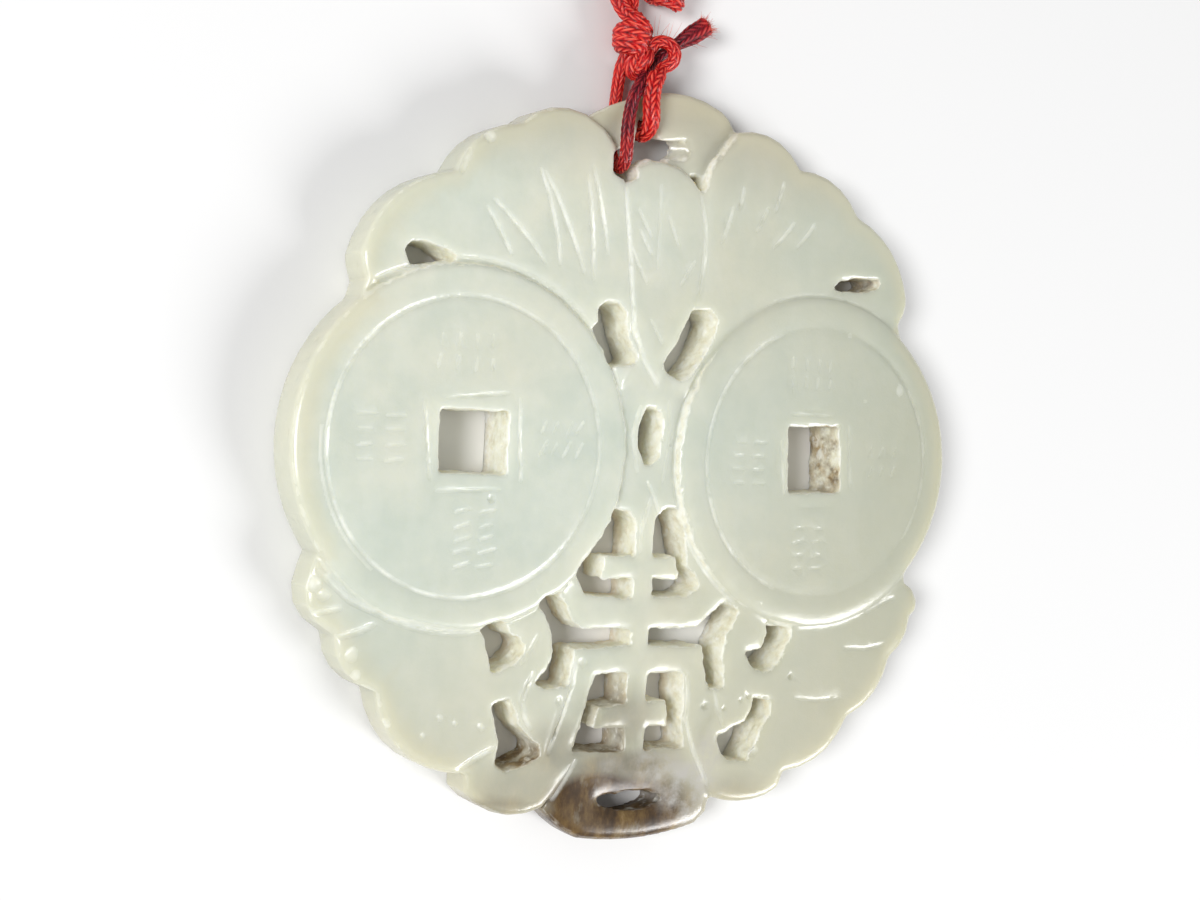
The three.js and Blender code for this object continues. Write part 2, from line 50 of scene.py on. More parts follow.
lens = bpy.data.cameras.new("camera")
lens.lens = LENS_MM
lens.clip_start = 0.01
lens.clip_end = 10
camera = bpy.data.objects.new("camera", lens)
bpy.context.scene.collection.objects.link(camera)
back_axis = (CAMERA_PLACE - CAMERA_AIM).normalized()
right_axis = Vector((0, 1, 0)).cross(back_axis).normalized()
up_axis = back_axis.cross(right_axis)
looking = Matrix((right_axis, up_axis, back_axis)).transposed().to_4x4()
camera.matrix_world = Matrix.Translation(CAMERA_PLACE) @ looking @ Matrix.Rotation(CAMERA_ROLL, 4, "Z")
bpy.context.scene.camera = camera

# The bright strand. A round nylon braid, whose plaits show as columns of slanting stitches. From
# the top knot it winds round the upper knot, makes the ring of the lower one, and goes over the
# rim, down the cord hole and up behind. Routes are in millimetres, and follow the CAD solids.
STITCH_LENGTH = 0.58  # from one stitch to the next in a column
STITCH_LEAN = 1.45  # how many stitches a stitch slants over in crossing its column
STITCH_COLUMNS = 8
STITCH_TWIST = 0.05  # how many columns the braid turns by in a millimetre
STITCH_DEPTH = 0.3  # of the cord's radius
COLUMN_POWER = 0.35  # the lower, the flatter a column's back
STITCH_POWER = 0.55  # the lower, the flatter a stitch's back
END_WEAVE = 0.3  # the weave's height where a cord is closed
CLEAN = 0.05  # the soil on cord that is hardly worn
BRIGHT_STEP = 0.08
BRIGHT_SIDES = 48
BRIGHT_D = 1.5
TOP_KNOT = (0.45, 37.45, 1.9)
TOP_KNOT_REACH = (1.42, 1.12)
TOP_KNOT_TURNS = 2
TOP_KNOT_PITCH = 1.36
TOP_KNOT_SLANT = 0.3
WINDING_POINTS = 16
UPPER_KNOT = (-2.55, 34.1, 1.95)
UPPER_KNOT_REACH = 1.9
FACING_EASE = 8  # points each way
RING_CENTRE = (-0.5, 32.9, 3.2)
RING_RADIUS = 1.05
RING_TILT = math.radians(30)  # the ring leans to the left


def smooth_line(points, step):
    """Points a step apart on a smooth curve through the route's points."""
    knots = np.array(points, float)
    chords = np.maximum(np.linalg.norm(np.diff(knots, axis=0), axis=1), 1e-9)
    slopes = np.diff(knots, axis=0) / chords[:, None]
    tangents = np.empty_like(knots)
    tangents[0] = slopes[0]
    tangents[-1] = slopes[-1]
    before = chords[:-1, None]
    after = chords[1:, None]
    tangents[1:-1] = (slopes[:-1] * after + slopes[1:] * before) / (before + after)
    pieces = []
    for i, chord in enumerate(chords):
        t = np.linspace(0, 1, 40, endpoint=False)[:, None]
        pieces.append(
            (2 * t**3 - 3 * t**2 + 1) * knots[i]
            + (t**3 - 2 * t**2 + t) * chord * tangents[i]
            + (3 * t**2 - 2 * t**3) * knots[i + 1]
            + (t**3 - t**2) * chord * tangents[i + 1]
        )
    fine = np.vstack(pieces + [knots[-1:]])
    along = np.concatenate([[0], np.cumsum(np.linalg.norm(np.diff(fine, axis=0), axis=1))])
    at = np.linspace(0, along[-1], max(8, round(along[-1] / step)) + 1)
    return np.stack([np.interp(at, along, fine[:, k]) for k in range(3)], axis=1)


def spread_along(line, route, values):
    """One value for each point of a line, from the values given at points of its route."""
    at = [int(np.argmin(np.linalg.norm(line - np.array(point), axis=1))) for point in route]
    return np.interp(np.arange(len(line)), at, values)


def eased(values, reach):
    """The rows of an array, each averaged with its neighbours within reach."""
    kernel = np.hanning(2 * reach + 3)[1:-1]
    kernel /= kernel.sum()
    padded = np.pad(values, ((reach, reach), (0, 0)), mode="edge")
    return np.stack([np.convolve(padded[:, k], kernel, "valid") for k in range(values.shape[1])], axis=1)


def facing_from(line, centre, reach):
    """The way that the cord's flat side faces: up, but away from a knot's middle near it."""
    away = line - np.array(centre)
    far = np.linalg.norm(away, axis=1)
    share = np.clip((reach - far) / (0.25 * reach), 0, 1)[:, None]
    facing = np.array((0.0, 0.0, 1.0)) * (1 - share) + away / np.maximum(far, 0.05)[:, None] * share
    return facing / np.maximum(np.linalg.norm(facing, axis=1), 1e-6)[:, None]


def solid_object(name, mesh):
    """A smooth object of a closed mesh, with its faces pointing out."""
    made = bpy.data.objects.new(name, mesh)
    bpy.context.scene.collection.objects.link(made)
    bpy.ops.object.select_all(action="DESELECT")
    made.select_set(True)
    bpy.context.view_layer.objects.active = made
    bpy.ops.object.mode_set(mode="EDIT")
    bpy.ops.mesh.select_all(action="SELECT")
    bpy.ops.mesh.normals_make_consistent(inside=False)
    bpy.ops.object.mode_set(mode="OBJECT")
    bpy.ops.object.shade_smooth()
    return made


def braid(name, line, facing, half_width, half_thickness, sides, relief, soil):
    """A braided cord along a line in millimetres, as a mesh in metres. The sizes, the relief and
    the soil are one value for each point. Its vertices keep their height in the weave, their
    stitch and their soil for the material."""
    count = len(line)
    along = np.concatenate([[0], np.cumsum(np.linalg.norm(np.diff(line, axis=0), axis=1))])
    ahead = np.gradient(line, axis=0)
    ahead /= np.linalg.norm(ahead, axis=1)[:, None]
    front = facing - (facing * ahead).sum(1)[:, None] * ahead
    front /= np.maximum(np.linalg.norm(front, axis=1), 1e-6)[:, None]
    side = np.cross(ahead, front)
    angle = 2 * np.pi * np.arange(sides) / sides
    column = (angle / (2 * np.pi) * STITCH_COLUMNS)[None, :] + STITCH_TWIST * along[:, None]
    across = column - np.floor(column) - 0.5
    slant = np.where(np.floor(column) % 2 < 1, 1.0, -1.0)
    phase = along[:, None] / STITCH_LENGTH + slant * across * STITCH_LEAN
    phase = phase + np.where(np.floor(column) % 4 < 2, 0.0, 0.5)
    within = phase - np.floor(phase) - 0.5
    column_height = np.clip(1 - (2 * across) ** 2, 0, 1) ** COLUMN_POWER
    stitch_height = np.clip(1 - (2 * within) ** 2, 0, 1) ** STITCH_POWER
    bulge = column_height * stitch_height
    swell = 1 - relief[:, None] * (1 - bulge)
    rim = (
        side[:, None, :] * (np.cos(angle)[None, :] * half_width[:, None] * swell)[:, :, None]
        + front[:, None, :] * (np.sin(angle)[None, :] * half_thickness[:, None] * swell)[:, :, None]
    )
    rings = line[:, None, :] + rim
    points = np.vstack([rings.reshape(-1, 3), line[:1], line[-1:]]) * MM
    here = np.arange(count - 1)[:, None] * sides + np.arange(sides)[None, :]
    beside = np.arange(count - 1)[:, None] * sides + (np.arange(sides)[None, :] + 1) % sides
    faces = np.stack([here, beside, beside + sides, here + sides], axis=2).reshape(-1, 4).tolist()
    first = count * sides
    last = first + 1
    end = first - sides
    faces += [(first, (j + 1) % sides, j) for j in range(sides)]
    faces += [(last, end + j, end + (j + 1) % sides) for j in range(sides)]
    mesh = bpy.data.meshes.new(name)
    mesh.from_pydata(points.tolist(), [], faces)
    mesh.update()
    soils = np.repeat(soil, sides)
    for layer_name, values in (
        ("weave", np.append(bulge.ravel(), [END_WEAVE, END_WEAVE])),
        ("plait", np.append(phase.ravel(), [0.0, 0.0])),
        ("soil", np.append(soils, [soil[0], soil[-1]])),
    ):
        layer = mesh.attributes.new(layer_name, "FLOAT", "POINT")
        layer.data.foreach_set("value", values.astype(np.float32))
    return solid_object(name, mesh)


def cord_material():
    """Dyed nylon in full red, with painted shade (deep red between the stitches) and a painted
    highlight (paler on their tops, where the filaments would shine). Soil turns it a dark crimson."""
    material = bpy.data.materials.new("red nylon braid")
    material.use_nodes = True
    tree = material.node_tree
    shader = tree.nodes["Principled BSDF"]

    def node(kind, **settings):
        made = tree.nodes.new("ShaderNode" + kind)
        for key, value in settings.items():
            setattr(made, key, value)
        return made

    # Three reds by height in the weave: painted shade low between stitches, the dye's own red, painted
    # highlight on the tops
    def reds_with_painted_shade_and_highlight(deep, full, bright):
        made = node("ValToRGB")
        stops = made.color_ramp.elements
        stops.new(1.0)
        for stop, position, colour in zip(stops, (0.2, 0.7, 1.0), (deep, full, bright)):
            stop.position = position
            stop.color = (*colour, 1)
        tree.links.new(weave.outputs["Fac"], made.inputs["Fac"])
        return made.outputs["Color"]

    weave = node("Attribute", attribute_name="weave")
    plait = node("Attribute", attribute_name="plait")
    soil = node("Attribute", attribute_name="soil")
    blotch = node("TexNoise")
    blotch.inputs["Scale"].default_value = 900
    blotch.inputs["Detail"].default_value = 4
    place = node("TexCoord")
    tree.links.new(place.outputs["Object"], blotch.inputs["Vector"])
    shift = node("MapRange")
    shift.inputs["From Min"].default_value = 0.35
    shift.inputs["From Max"].default_value = 0.65
    shift.inputs["To Min"].default_value = -0.22
    shift.inputs["To Max"].default_value = 0.22
    tree.links.new(blotch.outputs["Fac"], shift.inputs["Value"])
    share = node("Math", operation="ADD", use_clamp=True)
    tree.links.new(soil.outputs["Fac"], share.inputs[0])
    tree.links.new(shift.outputs[0], share.inputs[1])
    mix = node("Mix", data_type="RGBA")
    tree.links.new(share.outputs[0], mix.inputs["Factor"])
    # Clean and soiled palettes, each with painted shade in the crevices and a painted highlight on the
    # stitch tops
    tree.links.new(reds_with_painted_shade_and_highlight((0.09, 0.0, 0.002), (0.66, 0.002, 0.005), (1.0, 0.15, 0.09)), mix.inputs["A"])
    tree.links.new(reds_with_painted_shade_and_highlight((0.02, 0.0, 0.003), (0.13, 0.0, 0.009), (0.42, 0.02, 0.035)), mix.inputs["B"])
    tree.links.new(mix.outputs["Result"], shader.inputs["Base Color"])
    lines = node("Math", operation="MULTIPLY")
    lines.inputs[1].default_value = 2 * math.pi * 5
    tree.links.new(plait.outputs["Fac"], lines.inputs[0])
    wave = node("Math", operation="SINE")
    tree.links.new(lines.outputs[0], wave.inputs[0])
    bump = node("Bump")
    bump.inputs["Strength"].default_value = 0.5
    bump.inputs["Distance"].default_value = 0.00003
    tree.links.new(wave.outputs[0], bump.inputs["Height"])
    tree.links.new(bump.outputs["Normal"], shader.inputs["Normal"])
    shader.inputs["Roughness"].default_value = 0.24
    shader.inputs["Specular IOR Level"].default_value = 0.5
    return material


RED_BRAID = cord_material()

top_windings = []
for i in range(TOP_KNOT_TURNS * WINDING_POINTS + 1):
    angle = 2 * math.pi * (i / WINDING_POINTS + 0.25)
    top_windings.append((
        TOP_KNOT[0] + TOP_KNOT_REACH[0] * math.cos(angle),
        TOP_KNOT[1] + TOP_KNOT_PITCH * i / WINDING_POINTS + TOP_KNOT_SLANT * math.cos(angle) ** 2,
        TOP_KNOT[2] + TOP_KNOT_REACH[1] * math.sin(angle),
    ))
top_start = [(0.5, 40.3, 1.9), (0.6, 39.2, 1.85), (0.9, 38.0, 1.9), (1.1, 37.4, 2.5)]
neck_left = [(-0.9, 40.55, 2.7), (-2.1, 40.6, 1.9), (-3.2, 40.1, 1.5), (-3.9, 39.1, 1.5),
             (-4.05, 38.1, 1.55), (-3.8, 37.1, 1.65), (-3.35, 36.3, 1.85), (-2.95, 35.75, 2.25)]
upper_windings = [(-0.15, 1.35, 0.85), (0.55, 1.05, 0.75), (1.08, 0.8, -0.05), (0.6, 0.7, -0.9),
                  (-0.45, 0.62, -1.0), (-1.1, 0.5, -0.2), (-0.85, 0.38, 0.75), (0.05, 0.2, 1.15),
                  (0.9, 0.0, 0.7), (1.05, -0.2, -0.3), (0.35, -0.4, -1.05), (-0.7, -0.52, -0.85),
                  (-1.12, -0.62, 0.05), (-0.65, -0.78, 0.9), (0.15, -1.05, 1.05)]
upper_wound = [tuple(c + p for c, p in zip(UPPER_KNOT, point)) for point in upper_windings]
loop_below = [(-2.3, 32.45, 2.6), (-2.6, 31.8, 2.35), (-2.45, 31.35, 2.35), (-2.1, 31.7, 2.7),
              (-1.85, 32.3, 3.15)]
ring = []
for degrees in (165, 115, 65, 15, -35, -80):
    angle = math.radians(degrees)
    reach = RING_RADIUS * math.cos(angle)
    ring.append((
        RING_CENTRE[0] + reach * math.cos(RING_TILT),
        RING_CENTRE[1] + RING_RADIUS * math.sin(angle),
        RING_CENTRE[2] + reach * math.sin(RING_TILT),
    ))
over_rim_right = [(-1.0, 31.1, 3.7), (-1.5, 30.5, 4.0), (-1.8, 29.6, 4.2), (-1.85, 28.7, 4.2),
                  (-1.75, 27.9, 4.15), (-1.6, 27.2, 3.85), (-1.5, 26.75, 3.25)]
behind_rim_right = [(-1.5, 26.55, 2.5), (-1.45, 26.75, 1.65), (-1.3, 27.4, 1.0), (-1.0, 28.6, 0.8),
                    (-0.6, 29.9, 0.85), (-0.3, 31.0, 1.1), (-0.5, 32.0, 1.4), (-1.3, 33.0, 1.6),
                    (-2.0, 33.6, 1.7)]
bright_route = top_start + top_windings + neck_left + upper_wound + loop_below + ring
bright_route += over_rim_right + behind_rim_right
bright_line = smooth_line(bright_route, BRIGHT_STEP)
bright_facing = facing_from(bright_line, UPPER_KNOT, UPPER_KNOT_REACH)
axis_gap = (bright_line - np.array(TOP_KNOT)) * (1, 0, 1)
in_top = np.clip((2.3 - np.linalg.norm(axis_gap, axis=1)) / 0.5, 0, 1) * (bright_line[:, 1] > 36.5)
in_top = (in_top * (bright_line[:, 0] > -1.8))[:, None]
bright_facing = bright_facing * (1 - in_top) + axis_gap * in_top
from_ring = np.linalg.norm(bright_line - np.array(RING_CENTRE), axis=1)
near_ring = np.clip((2.2 - from_ring) / 0.6, 0, 1)
bright_facing = bright_facing * (1 - near_ring[:, None]) + np.array((-0.5, 0, 0.86)) * near_ring[:, None]
bright_facing = eased(bright_facing, FACING_EASE)
from_knot = np.linalg.norm(bright_line - np.array(UPPER_KNOT), axis=1)
in_knot = np.clip((UPPER_KNOT_REACH - from_knot) / 0.4, 0, 1)
bright_strand = braid(
    "bright_strand", bright_line, bright_facing,
    BRIGHT_D / 2 * (1 + 0.08 * in_knot - 0.28 * near_ring),
    BRIGHT_D / 2 * (0.92 - 0.22 * in_knot - 0.2 * near_ring),
    BRIGHT_SIDES, np.full(len(bright_line), STITCH_DEPTH), np.full(len(bright_line), CLEAN),
)
bright_strand.data.materials.append(RED_BRAID)
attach(bright_strand, "root")
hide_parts("cord_strand_thick", "knot_upper", "knot_lower", "cord_neck", "knot_top")

# The dark strand. The same braid, thinner, and soiled where it rubs on the stone. It goes from
# the upper knot behind the rim, up through the cord hole, over the rim and under the ring, and
# ends in a short tail whose cut end is frayed.
DARK_STEP = 0.08
DARK_SIDES = 44
DARK_D = 1.1
LOOSE_LENGTH = 3.4  # of the tail, where the braid opens
FRAY_COUNT = 150
FRAY_RADIUS = 0.022
TIP_HALF_WIDTH = 0.82
TIP_HALF_HEIGHT = 0.68

neck_right = [(-0.2, 39.2, 1.7), (-1.2, 39.4, 1.6), (-2.1, 38.9, 1.5), (-2.4, 38.0, 1.45),
              (-2.45, 37.1, 1.45), (-2.5, 36.3, 1.4), (-2.5, 35.4, 1.6)]
through_knot = [(-2.55, 34.6, 1.9), (-2.65, 33.6, 1.9), (-2.95, 32.7, 1.7)]
behind_rim_left = [(-3.15, 31.7, 1.35), (-3.15, 30.8, 1.1), (-3.15, 29.8, 0.9), (-3.2, 28.4, 0.8),
                   (-3.3, 26.6, 0.8), (-3.4, 25.2, 0.9), (-3.45, 24.3, 1.4), (-3.5, 23.7, 2.2)]
over_rim_left = [(-3.6, 23.65, 3.1), (-3.75, 24.1, 3.85), (-3.9, 25.0, 4.2), (-3.9, 26.4, 4.2),
                 (-3.7, 27.8, 4.1), (-3.4, 28.95, 4.05), (-2.8, 30.0, 3.8), (-2.0, 30.9, 3.1)]
under_ring = [(-1.1, 31.75, 2.3), (-0.3, 32.6, 2.0), (0.7, 33.5, 1.95), (1.7, 34.3, 2.0)]
tail = [(2.6, 34.95, 2.05), (3.6, 35.65, 2.15), (4.45, 36.3, 2.25)]
dark_line = smooth_line(
    neck_right + through_knot + behind_rim_left + over_rim_left + under_ring + tail, DARK_STEP
)
dark_facing = np.tile(np.array((0.0, 0.0, 1.0)), (len(dark_line), 1))
steps_back = np.diff(dark_line[::-1], axis=0, prepend=dark_line[-1:])
to_tip = np.cumsum(np.linalg.norm(steps_back, axis=1))[::-1]
in_tail = np.clip((LOOSE_LENGTH - to_tip) / 1.6, 0, 1)
tip_round = np.sqrt(np.clip(to_tip / 0.35, 0.15, 1))
dark_soil = spread_along(
    dark_line,
    [behind_rim_left[2], behind_rim_left[5], over_rim_left[0], over_rim_left[2], over_rim_left[3],
     under_ring[1], under_ring[3], tail[1], tail[2]],
    [0.05, 0.4, 0.35, 0.55, 0.9, 1.0, 1.0, 0.7, 0.25],
)
dark_half_width = DARK_D / 2 * (1 + 0.52 * in_tail) * tip_round
dark_half_thickness = DARK_D / 2 * (0.95 + 0.3 * in_tail) * tip_round
dark_strand = braid(
    "dark_strand", dark_line, dark_facing, dark_half_width, dark_half_thickness, DARK_SIDES,
    STITCH_DEPTH * (1 - 0.65 * in_tail), dark_soil,
)
dark_strand.data.materials.append(RED_BRAID)
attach(dark_strand, "root")
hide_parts("cord_strand_thin", "cord_tail")


def fibres(name, strands, radius):
    """Loose filaments as thin three-sided tubes that run to a point."""
    points = []
    faces = []
    for strand in strands:
        path = np.array(strand)
        ahead = np.gradient(path, axis=0)
        ahead /= np.linalg.norm(ahead, axis=1)[:, None]
        side = np.cross(ahead, (0.3, 0.5, 0.81))
        side /= np.linalg.norm(side, axis=1)[:, None]
        over = np.cross(side, ahead)
        start = len(points)
        for i in range(len(path)):
            thick = radius * (1 - 0.75 * i / (len(path) - 1))
            for k in range(3):
                angle = 2 * math.pi * k / 3
                way = side[i] * math.cos(angle) + over[i] * math.sin(angle)
                points.append((path[i] + way * thick) * MM)
        for i in range(len(path) - 1):
            for k in range(3):
                a, b = start + 3 * i + k, start + 3 * i + (k + 1) % 3
                faces.append((a, b, b + 3, a + 3))
        faces.append((start + 2, start + 1, start))
        faces.append(tuple(len(points) - 3 + k for k in range(3)))
    mesh = bpy.data.meshes.new(name)
    mesh.from_pydata([tuple(p) for p in points], [], faces)
    return solid_object(name, mesh)


pick = np.random.default_rng(4)
tip = dark_line[-4]
outward = (dark_line[-1] - dark_line[-12]) / np.linalg.norm(dark_line[-1] - dark_line[-12])
across_tip = np.cross(outward, (0, 0, 1))
frayed = []
for _ in range(FRAY_COUNT):
    angle = pick.uniform(0, 2 * math.pi)
    spread = math.sqrt(pick.uniform(0.05, 1))
    sideways = across_tip * math.cos(angle) * TIP_HALF_WIDTH * spread
    upwards = np.array((0, 0, 1)) * math.sin(angle) * TIP_HALF_HEIGHT * spread
    offset = sideways + upwards
    reach = pick.uniform(0.25, 0.75) * (1.25 - 0.5 * spread)
    flare = offset * pick.uniform(0.05, 0.5) + pick.normal(0, 0.12, 3)
    base = tip + offset - outward * 0.25
    frayed.append([base + outward * reach * t + flare * t * t for t in (0, 0.35, 0.7, 1.0)])

# Stray fibres beside the knots: where each starts, and how far it runs
strays = (
    (-1.05, 34.35, 2.9, -0.5, 1.5, 0.5), (-0.85, 34.45, 2.9, -0.15, 1.25, 0.6),
    (-0.5, 34.5, 2.9, 0.35, 1.0, 0.5), (0.2, 34.4, 2.9, 0.35, 1.3, 0.4),
    (0.4, 34.2, 2.9, 0.8, 1.1, 0.5), (0.1, 34.5, 2.8, -0.2, 0.9, 0.6),
    (3.4, 34.6, 2.0, 0.7, -0.35, 0.3), (3.0, 34.4, 2.0, 0.55, -0.25, 0.4),
    (4.2, 35.2, 2.2, 0.8, 0.1, 0.3),
)
for x, y, z, dx, dy, dz in strays:
    bend = pick.normal(0, 0.15, 3)
    start = np.array((x, y, z))
    run = np.array((dx, dy, dz))
    frayed.append([start + run * t + bend * t * t for t in (0, 0.25, 0.5, 0.75, 1.0)])
fray = fibres("frayed_fibres", frayed, FRAY_RADIUS)
fray_red = bpy.data.materials.new("frayed red nylon")
fray_red.use_nodes = True
fray_shader = fray_red.node_tree.nodes["Principled BSDF"]
fray_tone = fray_red.node_tree.nodes.new("ShaderNodeTexNoise")
fray_tone.inputs["Scale"].default_value = 1800
fray_place = fray_red.node_tree.nodes.new("ShaderNodeTexCoord")
fray_ramp = fray_red.node_tree.nodes.new("ShaderNodeValToRGB")
fray_ramp.color_ramp.elements[0].position = 0.35
fray_ramp.color_ramp.elements[0].color = (0.35, 0.01, 0.01, 1)
fray_ramp.color_ramp.elements[1].position = 0.65
fray_ramp.color_ramp.elements[1].color = (0.85, 0.13, 0.06, 1)
fray_red.node_tree.links.new(fray_place.outputs["Object"], fray_tone.inputs["Vector"])
fray_red.node_tree.links.new(fray_tone.outputs["Fac"], fray_ramp.inputs["Fac"])
fray_red.node_tree.links.new(fray_ramp.outputs["Color"], fray_shader.inputs["Base Color"])
fray_shader.inputs["Roughness"].default_value = 0.4
fray.data.materials.append(fray_red)
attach(fray, "root")

# The neck cord. One long loop of the same braid, from the top knot out to a coil, nearly ten
# turns round for storage, and back to the knot. It winds inwards on the table, outwards on that,
# and comes off the top of the outside. A few turns of thin thread tie the coil.
NECK_STEP = 0.19
NECK_SIDES = 20
NECK_D = 1.5
NECK_HALF_THICKNESS = 0.46  # of its diameter
NECK_STITCH_DEPTH = 0.24
COIL_X = -1.5
COIL_Y = 58.0
COIL_R = 9.0
COIL_LAYER_Z = (0.75, 2.08, 3.4)
COIL_LANES = (-2.22, -0.74, 0.74, 2.22)
LANE_CHANGE = 0.35  # the last share of a turn, in which the cord moves to the next lane
TURN_POINTS = 20
START_ANGLE = math.radians(-20)
COIL_TURNS = 9.625  # from the side where one run comes in to the side where the other leaves
TIE_Y = 67.0
TIE_LIFT = 0.42  # the coil is lifted here by the thread under it
TIE_REACH = 0.22  # radians from the tie to where that lift is down to about a third
TIE_LEFT = 0.95  # from the coil's middle line
TIE_HALF_LENGTH = 3.02
TIE_UNDERSIDE = 0.24
TIE_SQUARENESS = 0.72
THREAD_D = 0.42
THREAD_TURNS = 5
THREAD_POINTS = 12  # in a turn
THREAD_PITCH = 0.4
THREAD_STEP = 0.14
THREAD_SIDES = 12

coil_lanes = [(COIL_R + lane, COIL_LAYER_Z[0]) for lane in COIL_LANES[::-1]]
coil_lanes += [(COIL_R + lane, COIL_LAYER_Z[1]) for lane in COIL_LANES]
coil_lanes += [(COIL_R + lane, COIL_LAYER_Z[2]) for lane in COIL_LANES[2:]]
turns = []
for i in range(round(COIL_TURNS * TURN_POINTS) + 1):
    turn_share = i / TURN_POINTS
    lane = int(turn_share)
    following = min(lane + 1, len(coil_lanes) - 1)
    blend = max(0.0, (turn_share - lane - (1 - LANE_CHANGE)) / LANE_CHANGE)
    radius = coil_lanes[lane][0] * (1 - blend) + coil_lanes[following][0] * blend
    height = coil_lanes[lane][1] * (1 - blend) + coil_lanes[following][1] * blend
    angle = START_ANGLE + 2 * math.pi * turn_share
    from_tie = (angle - math.pi / 2 + math.pi) % (2 * math.pi) - math.pi
    height += TIE_LIFT * math.exp(-((from_tie / TIE_REACH) ** 2))
    turns.append((COIL_X + radius * math.cos(angle), COIL_Y + radius * math.sin(angle), height))
run_out = [(1.2, 40.2, 1.7), (1.8, 41.1, 1.2), (2.4, 42.1, 0.9), (3.4, 43.6, 0.8), (4.9, 45.2, 0.8),
           (6.6, 47.0, 0.8), (8.2, 48.7, 0.8), (9.0, 51.4, 0.76)]
run_back = [(-12.0, 51.6, 3.0), (-11.7, 50.0, 1.8), (-10.8, 48.4, 0.8), (-8.6, 46.6, 0.8),
            (-6.0, 45.2, 0.8), (-3.6, 43.6, 0.8), (-1.6, 42.1, 0.9), (-0.7, 41.2, 1.2),
            (-0.1, 40.3, 1.7)]
neck_line = smooth_line(run_out + turns + run_back, NECK_STEP)
neck_count = len(neck_line)
neck_cord = braid(
    "neck_cord", neck_line, np.tile(np.array((0.0, 0.0, 1.0)), (neck_count, 1)),
    np.full(neck_count, NECK_D / 2), np.full(neck_count, NECK_HALF_THICKNESS * NECK_D), NECK_SIDES,
    np.full(neck_count, NECK_STITCH_DEPTH), np.full(neck_count, CLEAN),
)
neck_cord.data.materials.append(RED_BRAID)
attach(neck_cord, "root")
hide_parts("cord_run_left", "cord_run_right", "cord_coil")

coil_height = COIL_LAYER_Z[-1] + NECK_D / 2 + TIE_LIFT + 0.05
thread_route = []
for i in range(THREAD_TURNS * THREAD_POINTS + 1):
    angle = 2 * math.pi * i / THREAD_POINTS
    squareness = max(abs(math.cos(angle)), abs(math.sin(angle))) ** TIE_SQUARENESS
    thread_route.append((
        COIL_X - TIE_LEFT + THREAD_PITCH * i / THREAD_POINTS,
        TIE_Y + (TIE_HALF_LENGTH + THREAD_D / 2) * math.cos(angle) / squareness,
        TIE_UNDERSIDE + coil_height / 2 + coil_height / 2 * math.sin(angle) / squareness,
    ))
thread_line = smooth_line(thread_route, THREAD_STEP)
thread_count = len(thread_line)
thread = braid(
    "coil_thread", thread_line, thread_line - np.array((COIL_X, TIE_Y, coil_height / 2)),
    np.full(thread_count, THREAD_D / 2), np.full(thread_count, THREAD_D / 2), THREAD_SIDES,
    np.full(thread_count, 0.18), np.full(thread_count, 0.3),
)
thread.data.materials.append(RED_BRAID)
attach(thread, "root")
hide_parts("coil_tie")

# The jade plaque. One piece of pale green nephrite, sawn flat, pierced with a wire saw and carved
# in low relief. The faces are polished; the incised lines and sawn walls stay rough and whiter,
# and the foot keeps the stone's brown skin.
JADE_VOXEL = 0.14
JADE_TRIANGLES = 192000
FRONT_FLOOR = 2.9  # nothing that belongs to the carved front lies lower
COIN_TOP = 4.4
COIN_R = 13.9
RING_R = 11.35
LEFT_COIN = (-16.4, 0.9)
RIGHT_COIN = (16.4, 0.9)
WEAR_ROUNDS = 80
WORN_BORDER = 0.62  # how soft the right coin's border is worn


def value_noise(points, size, seed, octaves=3):
    """Smooth noise from about -1 to 1 at points in millimetres, with lumps of the given size."""
    lattice = np.random.default_rng(seed).uniform(-1, 1, (32, 32, 32))
    total = np.zeros(len(points))
    strength = 1.0
    norm = 0.0
    for octave in range(octaves):
        scaled = points / size * 2**octave + 11.3 * (octave + 1)
        cell = np.floor(scaled).astype(int)
        t = scaled - cell
        t = t * t * (3 - 2 * t)
        for corner in range(8):
            step = np.array((corner & 1, corner >> 1 & 1, corner >> 2 & 1))
            weight = np.where(step > 0, t, 1 - t).prod(axis=1)
            i, j, k = ((cell + step) % 32).T
            total += strength * weight * lattice[i, j, k]
        norm += strength
        strength *= 0.5
    return total / norm * 1.6


def ramp(values, low, high):
    """0 below low, 1 above high, and smooth between them."""
    t = np.clip((values - low) / (high - low), 0, 1)
    return t * t * (3 - 2 * t)


def path_distance(xy, path):
    """How far each point is from a polyline, and how far along it, from 0 to 1."""
    corners = np.array(path, float)
    spans = np.linalg.norm(np.diff(corners, axis=0), axis=1)
    starts = np.concatenate([[0], np.cumsum(spans)])
    nearest = np.full(len(xy), 1e9)
    share = np.zeros(len(xy))
    for a, b, start, span in zip(corners[:-1], corners[1:], starts, spans):
        t = np.clip(((xy - a) @ (b - a)) / span**2, 0, 1)
        away = np.linalg.norm(xy - a - t[:, None] * (b - a), axis=1)
        closer = away < nearest
        nearest[closer] = away[closer]
        share[closer] = (start + t[closer] * span) / starts[-1]
    return nearest, share


def arc(centre, radius, start, end, steps):
    """Points on a circle, from one angle to another in degrees."""
    angles = np.radians(np.linspace(start, end, steps))
    return [(centre[0] + radius * math.cos(a), centre[1] + radius * math.sin(a)) for a in angles]


def bowed(x0, y0, x1, y1, bow=0.0):
    """A line from one point to another that bows to its left."""
    length = math.hypot(x1 - x0, y1 - y0)
    return [
        (x0 + (x1 - x0) * t - (y1 - y0) / length * bow * 4 * t * (1 - t),
         y0 + (y1 - y0) * t + (x1 - x0) / length * bow * 4 * t * (1 - t))
        for t in (0, 0.25, 0.5, 0.75, 1)
    ]


# Each incised line: its path, its width, its depth and how frosty its sides are. Its ends run out
# to nothing.
incised = []


def incise(path, width, depth, frost):
    incised.append((path, width, depth, frost))


